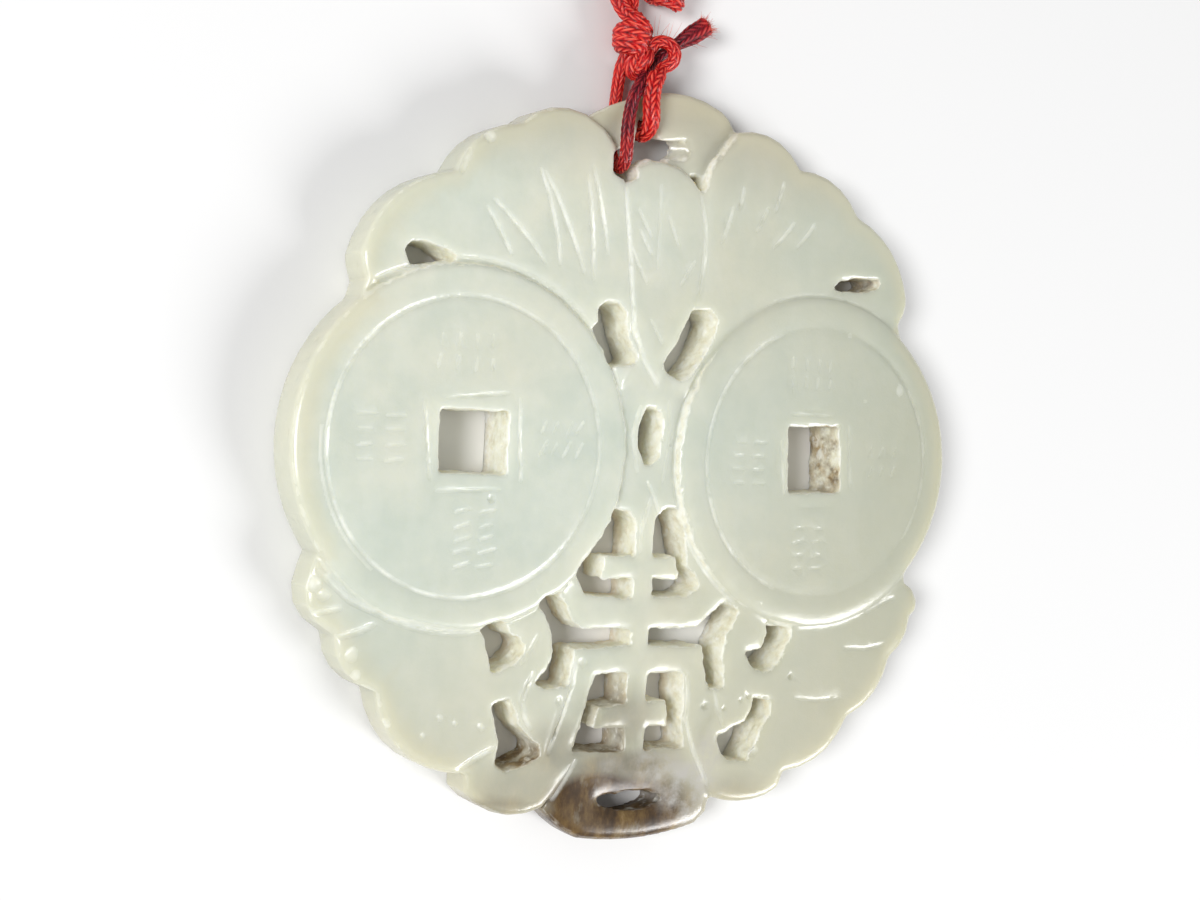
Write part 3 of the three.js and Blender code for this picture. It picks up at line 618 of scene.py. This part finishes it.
# the veins of the wings
for x0, y0, x1, y1, bow in (
    (-15.8, 19.2, -13.4, 15.6, 0.1), (-15.3, 19.8, -10.4, 15.2, 0.25), (-11.4, 22.6, -9.2, 15.2, 0.35),
    (-11.0, 22.4, -7.0, 14.7, 0.3), (-7.2, 22.6, -6.2, 14.3, 0.2), (-6.8, 23.4, -5.0, 16.4, 0.15),
):
    incise(bowed(x0, y0, x1, y1, bow), 0.4, 0.2, 0.95)
for x0, y0, x1, y1 in (
    (6.6, 21.6, 5.5, 18.3), (7.5, 23.2, 7.1, 21.2), (10.1, 21.9, 8.9, 19.6), (11.5, 24.1, 10.7, 21.4),
    (12.8, 20.9, 10.6, 18.4), (14.9, 21.0, 13.0, 18.7),
):
    incise(bowed(x0, y0, x1, y1, 0.12), 0.4, 0.14, 0.6)

# the petal's sides and its fine veins
incise([(-3.75, 22.8), (-3.5, 20.5), (-3.0, 17.0), (-2.6, 13.5), (-2.2, 11.0), (-1.2, 8.6), (0.5, 6.3)],
       0.55, 0.24, 1.0)
incise([(3.3, 22.8), (4.0, 19.6), (4.1, 17.0), (3.7, 13.8)], 0.45, 0.12, 0.55)
incise([(3.7, 13.8), (2.9, 11.6), (1.8, 9.4), (0.5, 7.6)], 0.4, 0.08, 0.2)
for x0, y0, x1, y1 in (
    (-0.4, 22.6, -0.3, 15.6), (-2.4, 20.4, -1.0, 18.2), (-2.2, 18.8, -0.9, 16.8),
    (-2.9, 17.4, -1.2, 14.4), (3.2, 16.8, 1.9, 14.6), (-0.8, 11.8, 0.5, 9.8), (0.4, 20.2, 1.6, 17.6),
):
    incise(bowed(x0, y0, x1, y1), 0.32, 0.12, 0.6)

# creases of the wings, leaves and scrolls
incise([(-18.0, 21.3), (-17.6, 22.4), (-17.2, 23.5)], 0.5, 0.22, 0.5)
incise([(6.6, 27.5), (5.6, 26.4), (5.0, 25.1)], 0.5, 0.2, 0.3)
incise([(-24.5, 12.9), (-22.9, 13.6), (-21.2, 14.1)], 0.5, 0.2, 0.9)
incise([(-27.8, -8.3), (-25.2, -10.6), (-22.0, -12.0), (-16.0, -13.0)], 0.6, 0.2, 0.55)
incise([(-26.1, -13.3), (-24.4, -12.9), (-23.0, -12.3)], 0.55, 0.25, 0.85)
incise([(-28.1, -11.6), (-25.7, -11.1)], 0.5, 0.25, 0.8)
incise([(-15.8, -23.5), (-14.2, -22.6), (-12.7, -21.9)], 0.5, 0.22, 0.85)
incise([(-9.6, -16.1), (-10.2, -17.5), (-10.6, -18.5), (-10.3, -19.7), (-9.6, -20.8)], 0.5, 0.22, 0.75)
incise([(-10.9, -15.7), (-9.9, -14.2), (-9.4, -13.2)], 0.4, 0.12, 0.3)
incise([(25.8, -10.5), (24.2, -11.1), (22.4, -11.9)], 0.5, 0.15, 0.35)
incise([(24.9, -14.6), (22.6, -15.0), (20.2, -14.9)], 0.5, 0.1, 0.25)
incise([(7.2, -18.0), (7.7, -19.6), (8.3, -21.3)], 0.45, 0.12, 0.4)
incise([(20.4, -19.2), (17.6, -19.3), (15.2, -19.0)], 0.5, 0.08, 0.2)

# the lines beside the fret, and the ribbons over it
incise([(-5.7, -15.0), (-6.0, -17.3), (-6.4, -18.5), (-7.0, -20.2), (-8.0, -22.8)], 0.5, 0.28, 0.9)
incise([(-5.3, -23.2), (-6.3, -24.9), (-7.3, -26.5)], 0.45, 0.22, 0.75)
incise([(4.6, -16.7), (4.8, -18.5), (4.8, -20.5), (5.6, -23.2), (7.2, -26.1)], 0.45, 0.22, 0.65)
incise([(-0.1, -1.2), (0.7, -2.6), (1.3, -3.8)], 0.45, 0.2, 0.6)
incise([(0.4, -2.4), (-0.4, -5.0), (-0.45, -7.0)], 0.45, 0.2, 0.6)
incise([(-1.1, 4.9), (-1.75, 2.4), (-1.1, -0.6)], 0.4, 0.12, 0.5)
incise([(1.5, 5.6), (1.9, 2.4), (1.3, -1.4)], 0.4, 0.12, 0.4)

# the rings of the coins and the lines that frame their square holes
incise(arc(LEFT_COIN, RING_R, 100, 330, 60), 0.42, 0.06, 0.85)
incise(arc(LEFT_COIN, RING_R, -30, 100, 40), 0.42, 0.04, 0.5)
incise(arc(LEFT_COIN, RING_R + 0.45, 172, 232, 24), 0.3, 0.05, 0.6)
incise(arc(RIGHT_COIN, RING_R, 110, 250, 40), 0.4, 0.04, 0.6)
incise(arc(RIGHT_COIN, RING_R, -35, 40, 30), 0.4, 0.03, 0.25)
incise([(-20.2, 4.4), (-19.5, -1.7)], 0.36, 0.2, 0.7)
incise([(-12.3, 4.9), (-11.9, -1.7)], 0.36, 0.2, 1.0)
incise([(-18.6, 4.5), (-13.0, 5.2)], 0.34, 0.14, 0.45)
incise([(-19.2, -2.4), (-13.4, -2.2)], 0.34, 0.14, 0.45)
incise([(12.3, 2.8), (12.9, -2.0)], 0.34, 0.14, 0.5)
incise([(19.3, 4.3), (19.8, -1.2)], 0.34, 0.14, 0.45)
incise([(13.2, 4.8), (17.6, 4.9)], 0.3, 0.1, 0.25)

# each coin's border
incise(arc(LEFT_COIN, COIN_R + 0.15, -42, 42, 40), 0.5, 0.16, 0.9)
incise(arc(LEFT_COIN, COIN_R + 0.15, 45, 120, 40), 0.5, 0.08, 0.3)
incise(arc(LEFT_COIN, COIN_R + 0.15, 208, 300, 40), 0.5, 0.1, 0.4)
incise(arc(RIGHT_COIN, COIN_R + 0.15, 150, 238, 40), 0.5, 0.16, 0.85)
incise(arc(RIGHT_COIN, COIN_R + 0.15, 60, 120, 40), 0.5, 0.06, 0.15)


def stroke_rows(x, y, columns, rows, across, down, reach, lean, frost, seed):
    """Worn rows of short parallel strokes where a coin carries its inscription."""
    pick = np.random.default_rng(seed)
    for i in range(columns):
        for j in range(rows):
            middle_x = x + (i - (columns - 1) / 2) * across + pick.uniform(-0.1, 0.1)
            middle_y = y + (j - (rows - 1) / 2) * down + pick.uniform(-0.1, 0.1)
            half = reach / 2 * pick.uniform(0.75, 1.1)
            angle = math.radians(lean + pick.uniform(-5, 5))
            dx, dy = half * math.cos(angle), half * math.sin(angle)
            incise(
                [(middle_x - dx, middle_y - dy), (middle_x + dx, middle_y + dy)],
                0.3, 0.09, frost * pick.uniform(0.6, 1.0),
            )


stroke_rows(-16.9, 8.1, 4, 2, 1.45, 1.7, 1.3, 82, 0.6, 11)
stroke_rows(-23.6, 1.4, 2, 4, 2.3, 1.15, 1.7, 4, 0.6, 12)
stroke_rows(-8.5, 1.9, 4, 2, 1.1, 1.7, 1.5, 62, 0.65, 13)
stroke_rows(-15.6, -5.9, 2, 5, 2.1, 1.0, 1.6, 14, 0.7, 14)
stroke_rows(15.2, 8.3, 4, 2, 1.3, 1.6, 1.2, 84, 0.35, 15)
stroke_rows(9.2, 0.6, 2, 4, 1.9, 1.1, 1.4, 3, 0.25, 16)
stroke_rows(23.1, 1.2, 3, 2, 1.3, 1.7, 1.2, 70, 0.25, 17)
stroke_rows(15.6, -6.4, 2, 4, 1.9, 1.1, 1.4, 10, 0.2, 18)

# Pits and chips: x, y, radius, depth and frost
CHIPS = (
    (-15.8, 24.3, 0.5, 0.35, 1.0), (-14.3, -2.9, 0.3, 0.3, 0.2), (14.9, -17.2, 0.35, 0.4, 0.1),
    (6.5, -19.5, 0.4, 0.35, 0.1), (9.9, -19.1, 0.28, 0.3, 0.1), (8.3, -19.7, 0.22, 0.25, 0.1),
    (10.7, -18.8, 0.25, 0.3, 0.1), (11.3, -23.3, 0.55, 0.35, 1.0), (-28.0, -9.4, 0.7, 0.3, 1.0),
    (-27.2, -10.2, 0.5, 0.25, 0.9), (-27.0, -8.9, 0.4, 0.2, 0.8), (-24.9, -14.6, 0.5, 0.2, 0.8),
    (-24.4, -16.2, 0.4, 0.2, 0.8), (-22.7, -18.4, 0.45, 0.2, 0.9), (-21.8, -19.8, 0.4, 0.2, 0.8),
    (-17.5, -19.4, 0.3, 0.15, 0.9), (-18.8, -20.8, 0.3, 0.15, 0.8), (-14.0, -20.3, 0.3, 0.15, 0.8),
    (-16.2, -19.9, 0.2, 0.12, 0.9), (24.6, 7.4, 0.5, 0.04, 0.7), (19.0, 11.8, 0.25, 0.04, 0.4),
    (20.9, 6.3, 0.25, 0.04, 0.4), (-18.9, -12.7, 0.25, 0.1, 0.9), (-23.3, -11.3, 0.35, 0.15, 0.8),
    (-7.6, -14.9, 0.35, 0.3, 0.3), (-5.3, -15.6, 0.4, 0.25, 0.6), (-7.3, -18.6, 0.35, 0.25, 0.3),
)


def carving(points, facing_up):
    """How deep the incised lines and chips cut into the front, and how frosty each point is."""
    xy = points[:, :2]
    depth = np.zeros(len(points))
    frost = np.zeros(len(points))
    front = ramp(facing_up, 0.2, 0.7) * (points[:, 2] > FRONT_FLOOR)
    broken = 0.75 + 0.5 * value_noise(points, 0.9, 21, 2)
    for path, width, deep, white in incised:
        corners = np.array(path)
        near = (xy > corners.min(0) - width) & (xy < corners.max(0) + width)
        inside = np.flatnonzero(near.all(axis=1) & (front > 0))
        away, share = path_distance(xy[inside], path)
        ends = np.sqrt(np.clip(np.minimum(share, 1 - share) * 5, 0, 1))
        section = np.clip(1 - 2 * away / width, 0, 1) * ends * front[inside]
        depth[inside] = np.maximum(depth[inside], deep * section)
        shine = white * np.clip(1.5 * section - 0.1, 0, 1) * np.clip(broken[inside], 0.35, 1)
        frost[inside] = np.maximum(frost[inside], shine)
    for x, y, radius, deep, white in CHIPS:
        away = np.hypot(xy[:, 0] - x, xy[:, 1] - y) / radius + 0.9 * (broken - 0.75)
        section = np.clip(1 - away, 0, 1) * front
        depth = np.maximum(depth, 0.6 * deep * np.minimum(1.6 * section, 1))
        frost = np.maximum(frost, 0.55 * white * np.minimum(2 * section, 1))
    return depth, frost


def mesh_arrays(mesh):
    """A mesh's vertices in millimetres, and its vertex normals."""
    place = np.empty(len(mesh.vertices) * 3)
    mesh.vertices.foreach_get("co", place)
    normal = np.empty(len(mesh.vertices) * 3)
    mesh.vertex_normals.foreach_get("vector", normal)
    return place.reshape(-1, 3) / MM, normal.reshape(-1, 3)


def outer_share(points):
    """1 at the plaque's outline and 0 a little inside it."""
    angle = np.arctan2(points[:, 1], points[:, 0])
    radius = np.hypot(points[:, 0], points[:, 1])
    bins = ((angle + np.pi) / (2 * np.pi) * 180).astype(int) % 180
    reach = np.zeros(180)
    np.maximum.at(reach, bins, radius)
    reach = np.maximum(reach, np.maximum(np.roll(reach, 1), np.roll(reach, -1)) - 0.8)
    return ramp(radius - reach[bins], -2.2, -0.9)


def patches(points, spots):
    """The strongest of some soft patches at each point: x, y, half width, half length, strength."""
    total = np.zeros(len(points))
    for x, y, half_width, half_length, strength in spots:
        away = np.hypot((points[:, 0] - x) / half_width, (points[:, 1] - y) / half_length)
        total = np.maximum(total, strength * ramp(-away, -1.25, -0.35))
    return total


plaque = bpy.data.objects.new("carved_plaque", bpy.data.objects["jade_plaque"].data.copy())
bpy.context.scene.collection.objects.link(plaque)
bpy.ops.object.select_all(action="DESELECT")
plaque.select_set(True)
bpy.context.view_layer.objects.active = plaque
bpy.ops.object.mode_set(mode="EDIT")
bpy.ops.mesh.select_all(action="SELECT")
bpy.ops.mesh.remove_doubles(threshold=0.000001)
bpy.ops.object.mode_set(mode="OBJECT")
skin = plaque.modifiers.new("skin", "REMESH")
skin.mode = "VOXEL"
skin.voxel_size = JADE_VOXEL * MM
bpy.ops.object.modifier_apply(modifier="skin")
wear = plaque.modifiers.new("wear", "SMOOTH")
wear.factor = 0.5
wear.iterations = 6
bpy.ops.object.modifier_apply(modifier="wear")

# The steps between the carved levels are worn soft, most of all at the foot, on the right leaf and
# on the right coin's border.
place, _ = mesh_arrays(plaque.data)
edges = np.empty(len(plaque.data.edges) * 2, dtype=np.int32)
plaque.data.edges.foreach_get("vertices", edges)
edges = edges.reshape(-1, 2)
front_edges = edges[(place[edges, 2] > FRONT_FLOOR).all(axis=1)]
one, other = front_edges.T
count = len(place)
neighbours = np.maximum(np.bincount(one, minlength=count) + np.bincount(other, minlength=count), 1)
softness = 0.06 + 0.5 * patches(place, (
    (0, -24.5, 9.5, 4.5, 1.0), (0, -12, 8.5, 9, 0.35), (25, -9, 10, 9, 1.0), (13, -13, 10, 4, 0.8),
    (16, 14, 9, 4, 0.5), (-24, -9, 8, 6, 0.5), (-14, -13, 6, 3, 0.35), (0, 8, 4, 6, 0.3),
))
from_border = np.abs(np.hypot(place[:, 0] - RIGHT_COIN[0], place[:, 1] - RIGHT_COIN[1]) - COIN_R)
worn_border = ramp(-from_border, -2.2, -0.8) * ramp(place[:, 0], 3.5, 8.0)
softness = np.maximum(softness, WORN_BORDER * worn_border)
for _ in range(WEAR_ROUNDS):
    height = place[:, 2]
    around = (
        np.bincount(one, weights=height[other], minlength=count)
        + np.bincount(other, weights=height[one], minlength=count)
    ) / neighbours
    place[:, 2] = np.where(height > FRONT_FLOOR + 0.02, height + softness * (around - height), height)
plaque.data.vertices.foreach_set("co", (place * MM).ravel())
plaque.data.update()

# The sawn walls are uneven and finely rough, the faces only a little wavy.
place, normal = mesh_arrays(plaque.data)
depth, _ = carving(place, normal[:, 2])
outside = outer_share(place)
steep = 1 - np.abs(normal[:, 2])
wall = ramp(steep, 0.2, 0.6)
sawn = wall * (1 - outside)
hand_cut = patches(place, ((0, -13, 13, 13, 1.0), (0, 8, 6, 5, 0.8), (0, 25, 6, 3, 0.6)))
rough = value_noise(place * (1, 1, 0.6), 1.2, 5) * 0.13 + value_noise(place, 0.42, 6) * 0.075
ripple = value_noise(place, 6.0, 7) * 0.05 + value_noise(place, 1.6, 8) * 0.06 * hand_cut
nicked = np.clip(value_noise(place, 0.7, 9) - 0.45, 0, 1) * ramp(steep, 0.08, 0.3)
nicked = nicked * 0.16 * (1 - 0.6 * outside) * (place[:, 2] > 2)
push = sawn * rough + ramp(place[:, 2], 1.5, 2.5) * ripple * (1 - wall) - nicked
place = place + normal * push[:, None]
place[:, 2] -= depth
place[:, 2] = np.clip(place[:, 2], 0.0, COIN_TOP + 0.03)
plaque.data.vertices.foreach_set("co", (place * MM).ravel())
plaque.data.update()
thin = plaque.modifiers.new("thin", "DECIMATE")
thin.ratio = JADE_TRIANGLES / (2 * len(plaque.data.polygons))
bpy.ops.object.modifier_apply(modifier="thin")
bpy.ops.object.shade_smooth()

# Where the stone is frosted, sawn, brown or clouded, where a golden glow is painted through thin walls,
# and where glints are painted on the lips of the openings
place, normal = mesh_arrays(plaque.data)
carved, frost = carving(place, normal[:, 2])
outside = outer_share(place)
steep = 1 - np.abs(normal[:, 2])
wall = ramp(steep, 0.2, 0.6)
sawn = wall * (1 - outside)
speckle = value_noise(place, 0.8, 31, 3)
# Painted highlight: glints painted white along the lips of the openings, most where they face the lamp on
# the viewer's side
painted_lip_glint = ramp(steep, 0.15, 0.35) * (1 - ramp(steep, 0.45, 0.75)) * (1 - 0.6 * outside) * (place[:, 2] > 2.4)
painted_lip_glint = painted_lip_glint * (1 - ramp(carved, 0.01, 0.06))
facing_viewer_lamp = ramp(-normal[:, 0], -0.1, 0.5)
frost = np.maximum(frost, painted_lip_glint * (0.2 + 0.8 * facing_viewer_lamp) * ramp(speckle, -0.2, 0.6) * 0.7)
frost = np.maximum(frost, sawn * ramp(value_noise(place, 0.35, 33, 2), 0.35, 0.8) * 0.7)
# Painted light: a golden glow painted on the walls near the back, strongest where light would come
# through
low_wall = sawn * ramp(-place[:, 2], -1.7, -0.4)
lit_through = patches(place, ((-6, -12, 9, 12, 1.0), (0, -4, 6, 5, 0.8), (0, -20, 9, 6, 1.0)))
painted_glow_through = low_wall * (0.35 + 0.65 * lit_through)
brown = patches(place, (
    (-1.5, -28.3, 9.0, 4.6, 1.0), (-3.5, -26.6, 5.5, 3.0, 1.0), (-9.5, -25.6, 6.0, 3.4, 0.22),
    (-12.5, -26.6, 4.5, 1.2, 0.4), (-1.5, -24.4, 6.5, 2.2, 0.5), (-6.5, -22.6, 4.5, 3.0, 0.3),
    (-2.0, -20.5, 4.5, 3.5, 0.3), (9.5, -27.0, 3.5, 2.0, 0.2),
))
stained = np.maximum(
    sawn * patches(place, (
        (18.4, 1.0, 1.2, 3.4, 1.0), (17.2, 3.9, 2.0, 0.8, 0.8), (21.0, 16.2, 2.4, 1.0, 1.0),
        (1.7, 25.6, 1.6, 0.7, 1.0), (-9.0, -23.4, 3.5, 1.6, 1.0), (-0.8, -20.5, 1.0, 4.0, 0.4),
        (0.0, -27.2, 4.0, 1.4, 1.0), (-2.2, -22.9, 3.0, 0.7, 0.8), (2.4, -22.9, 2.4, 0.7, 0.8),
    )),
    low_wall * 0.1,
)
cloud = patches(place, (
    (5.2, -26.2, 3.2, 2.6, 1.0), (2.2, -24.0, 3.0, 1.6, 0.8), (7.0, -23.2, 1.6, 2.0, 0.7),
    (5.8, -28.2, 2.0, 1.2, 0.8), (-2.0, -23.9, 1.6, 0.9, 0.45),
))
for name, values in (
    ("frost", frost), ("outside", outside), ("sawn", sawn), ("painted_glow_through", painted_glow_through), ("brown", brown),
    ("stained", stained), ("cloud", cloud),
):
    layer = plaque.data.attributes.new(name, "FLOAT", "POINT")
    layer.data.foreach_set("value", values.astype(np.float32))


def jade_material():
    """Polished nephrite: pale grey-green with soft clouds, yellower at the edges, darker and yellower
    to the right (partly painted shade), a golden glow painted where light would shine through thin walls,
    paler sawn walls (partly a painted glow), and brown skin at the foot."""
    material = bpy.data.materials.new("pale nephrite with brown skin")
    material.use_nodes = True
    tree = material.node_tree
    shader = tree.nodes["Principled BSDF"]

    def node(kind, **settings):
        made = tree.nodes.new("ShaderNode" + kind)
        for key, value in settings.items():
            setattr(made, key, value)
        return made

    coordinates = node("TexCoord")
    split = node("SeparateXYZ")
    tree.links.new(coordinates.outputs["Object"], split.inputs[0])

    def noise_of(scale, detail, roughness, stretch=None):
        made = node("TexNoise")
        made.inputs["Scale"].default_value = scale
        made.inputs["Detail"].default_value = detail
        made.inputs["Roughness"].default_value = roughness
        source = coordinates.outputs["Object"]
        if stretch:
            mapping = node("Mapping")
            mapping.inputs["Scale"].default_value = stretch
            tree.links.new(source, mapping.inputs["Vector"])
            source = mapping.outputs["Vector"]
        tree.links.new(source, made.inputs["Vector"])
        return made.outputs["Fac"]

    def ramp_of(source, *stops):
        made = node("ValToRGB")
        elements = made.color_ramp.elements
        for i, (position, colour) in enumerate(stops):
            element = elements[i] if i < 2 else elements.new(position)
            element.position = position
            element.color = (*colour, 1)
        tree.links.new(source, made.inputs["Fac"])
        return made.outputs["Color"]

    def mix_of(share, below, above, blend="MIX"):
        made = node("Mix", data_type="RGBA", blend_type=blend)
        for socket, value in (("Factor", share), ("A", below), ("B", above)):
            if isinstance(value, (float, int)):
                made.inputs[socket].default_value = value
            elif isinstance(value, tuple):
                made.inputs[socket].default_value = (*value, 1)
            else:
                tree.links.new(value, made.inputs[socket])
        return made.outputs["Result"]

    def math_of(operation, first, second):
        made = node("Math", operation=operation, use_clamp=True)
        for i, value in enumerate((first, second)):
            if isinstance(value, (float, int)):
                made.inputs[i].default_value = value
            else:
                tree.links.new(value, made.inputs[i])
        return made.outputs[0]

    def slope_of(source, low, high):
        made = node("MapRange")
        made.inputs["From Min"].default_value = low
        made.inputs["From Max"].default_value = high
        tree.links.new(source, made.inputs["Value"])
        return made.outputs[0]

    def attribute_of(name):
        return node("Attribute", attribute_name=name).outputs["Fac"]

    body = ramp_of(
        noise_of(60, 4, 0.55), (0.34, (0.585, 0.630, 0.560)), (0.52, (0.625, 0.645, 0.560)),
        (0.68, (0.635, 0.635, 0.530)),
    )
    clouds = ramp_of(noise_of(240, 6, 0.65), (0.32, (0.93, 0.945, 0.93)), (0.64, (1.03, 1.03, 1.02)))
    body = mix_of(1.0, body, clouds, "MULTIPLY")
    veil = ramp_of(noise_of(420, 3, 0.5, (1.0, 0.35, 1.0)), (0.5, (0, 0, 0)), (0.75, (1, 1, 1)))
    body = mix_of(math_of("MULTIPLY", veil, 0.18), body, (0.74, 0.76, 0.70))
    # Darker and yellower to the right: partly the stone's own yellowing, partly painted shade, as if the
    # left lamp lit it more
    rightward_yellowing_and_painted_shade = slope_of(split.outputs["X"], -0.004, 0.034)
    body = mix_of(math_of("MULTIPLY", rightward_yellowing_and_painted_shade, 0.9), body, (0.41, 0.425, 0.335))
    top_end = slope_of(split.outputs["Y"], 0.021, 0.029)
    body = mix_of(math_of("MULTIPLY", top_end, 0.7), body, (0.40, 0.35, 0.25))
    low_end = slope_of(split.outputs["Y"], -0.006, -0.026)
    body = mix_of(math_of("MULTIPLY", low_end, 0.5), body, (0.47, 0.43, 0.30))
    warm = math_of("MULTIPLY", attribute_of("outside"), 0.4)
    body = mix_of(warm, body, (0.58, 0.55, 0.40))
    # Sawn walls: the rough stone's own paler tone, brightened further as painted light for the glow in
    # the narrow openings
    sawn_tone_with_painted_glow = ramp_of(
        noise_of(1100, 5, 0.7), (0.30, (0.70, 0.64, 0.47)), (0.46, (0.84, 0.82, 0.68)),
        (0.66, (0.93, 0.93, 0.85)),
    )
    body = mix_of(math_of("MULTIPLY", attribute_of("sawn"), 0.75), body, sawn_tone_with_painted_glow)
    # Painted golden glow of light through thin walls
    body = mix_of(math_of("MULTIPLY", attribute_of("painted_glow_through"), 0.45), body, (0.84, 0.62, 0.34))
    stain_tone = ramp_of(noise_of(800, 5, 0.7), (0.35, (0.09, 0.05, 0.02)), (0.62, (0.45, 0.33, 0.17)))
    stain_spots = slope_of(noise_of(520, 4, 0.6), 0.34, 0.58)
    stain_share = math_of("MULTIPLY", attribute_of("stained"), stain_spots)
    body = mix_of(stain_share, body, stain_tone)
    patchy = slope_of(noise_of(230, 6, 0.62, (1.5, 0.8, 1.0)), 0.25, 0.62)
    brown_share = math_of("MULTIPLY", attribute_of("brown"), 1.25)
    skin_share = math_of("MULTIPLY", brown_share, math_of("ADD", patchy, 0.55))
    skin_tone = ramp_of(
        noise_of(340, 7, 0.7, (1.6, 0.7, 1.0)),
        (0.3, (0.026, 0.013, 0.005)), (0.45, (0.07, 0.038, 0.013)),
        (0.58, (0.145, 0.088, 0.028)), (0.72, (0.28, 0.19, 0.08)),
    )
    body = mix_of(skin_share, body, skin_tone)
    cloud_spots = slope_of(noise_of(520, 6, 0.65), 0.38, 0.62)
    cloud_share = math_of("MULTIPLY", attribute_of("cloud"), cloud_spots)
    body = mix_of(cloud_share, body, (0.47, 0.455, 0.42))
    # Frost: the whiter rough cuts and sawn walls, plus the painted glints on the lips
    body = mix_of(math_of("MULTIPLY", attribute_of("frost"), 0.8), body, (0.88, 0.89, 0.84))
    tree.links.new(body, shader.inputs["Base Color"])
    gloss = node("MapRange")
    gloss.inputs["To Min"].default_value = 0.25
    gloss.inputs["To Max"].default_value = 0.6
    tree.links.new(math_of("MAXIMUM", attribute_of("frost"), attribute_of("sawn")), gloss.inputs["Value"])
    tree.links.new(gloss.outputs[0], shader.inputs["Roughness"])
    fine = node("Bump")
    fine.inputs["Strength"].default_value = 0.3
    fine.inputs["Distance"].default_value = 0.00005
    tree.links.new(noise_of(2400, 5, 0.65), fine.inputs["Height"])
    tree.links.new(fine.outputs["Normal"], shader.inputs["Normal"])
    shader.inputs["IOR"].default_value = 1.6
    shader.inputs["Subsurface Weight"].default_value = 0.7
    shader.inputs["Subsurface Radius"].default_value = (1.0, 0.95, 0.75)
    shader.inputs["Subsurface Scale"].default_value = 0.0026
    return material


plaque.data.materials.clear()
plaque.data.materials.append(jade_material())
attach(plaque, "root")
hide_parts("jade_plaque")

# The table. A plain pale surface, larger than the view.
bpy.ops.mesh.primitive_plane_add(size=3.0, location=(0, 0, 0))
table = bpy.context.active_object
table.name = "pale_table"
table_paint = bpy.data.materials.new("pale table")
table_paint.use_nodes = True
table_shader = table_paint.node_tree.nodes["Principled BSDF"]
table_shader.inputs["Base Color"].default_value = (0.80, 0.80, 0.80, 1)
table_shader.inputs["Roughness"].default_value = 0.8
table.data.materials.append(table_paint)


# The light. A broad soft lamp low at the lower right throws the shadows to the upper left, one
# over the viewer's side lights the sawn walls, and a pale room fills the rest.
def soft_lamp(name, place, size, power):
    lamp_data = bpy.data.lights.new(name, "AREA")
    lamp_data.shape = "DISK"
    lamp_data.size = size
    lamp_data.energy = power
    lamp = bpy.data.objects.new(name, lamp_data)
    bpy.context.scene.collection.objects.link(lamp)
    lamp.location = place
    lamp.rotation_euler = (-Vector(place)).to_track_quat("-Z", "Y").to_euler()


soft_lamp("low lamp at the right", (0.44, -0.36, 0.34), 0.30, 3.3)
soft_lamp("lamp on the viewer's side", (-0.48, 0.0, 0.40), 0.22, 3.1)
world = bpy.data.worlds.new("pale room")
world.use_nodes = True
world.node_tree.nodes["Background"].inputs["Color"].default_value = (1, 1, 1, 1)
world.node_tree.nodes["Background"].inputs["Strength"].default_value = 0.36
bpy.context.scene.world = world
bpy.context.scene.view_settings.view_transform = "Standard"
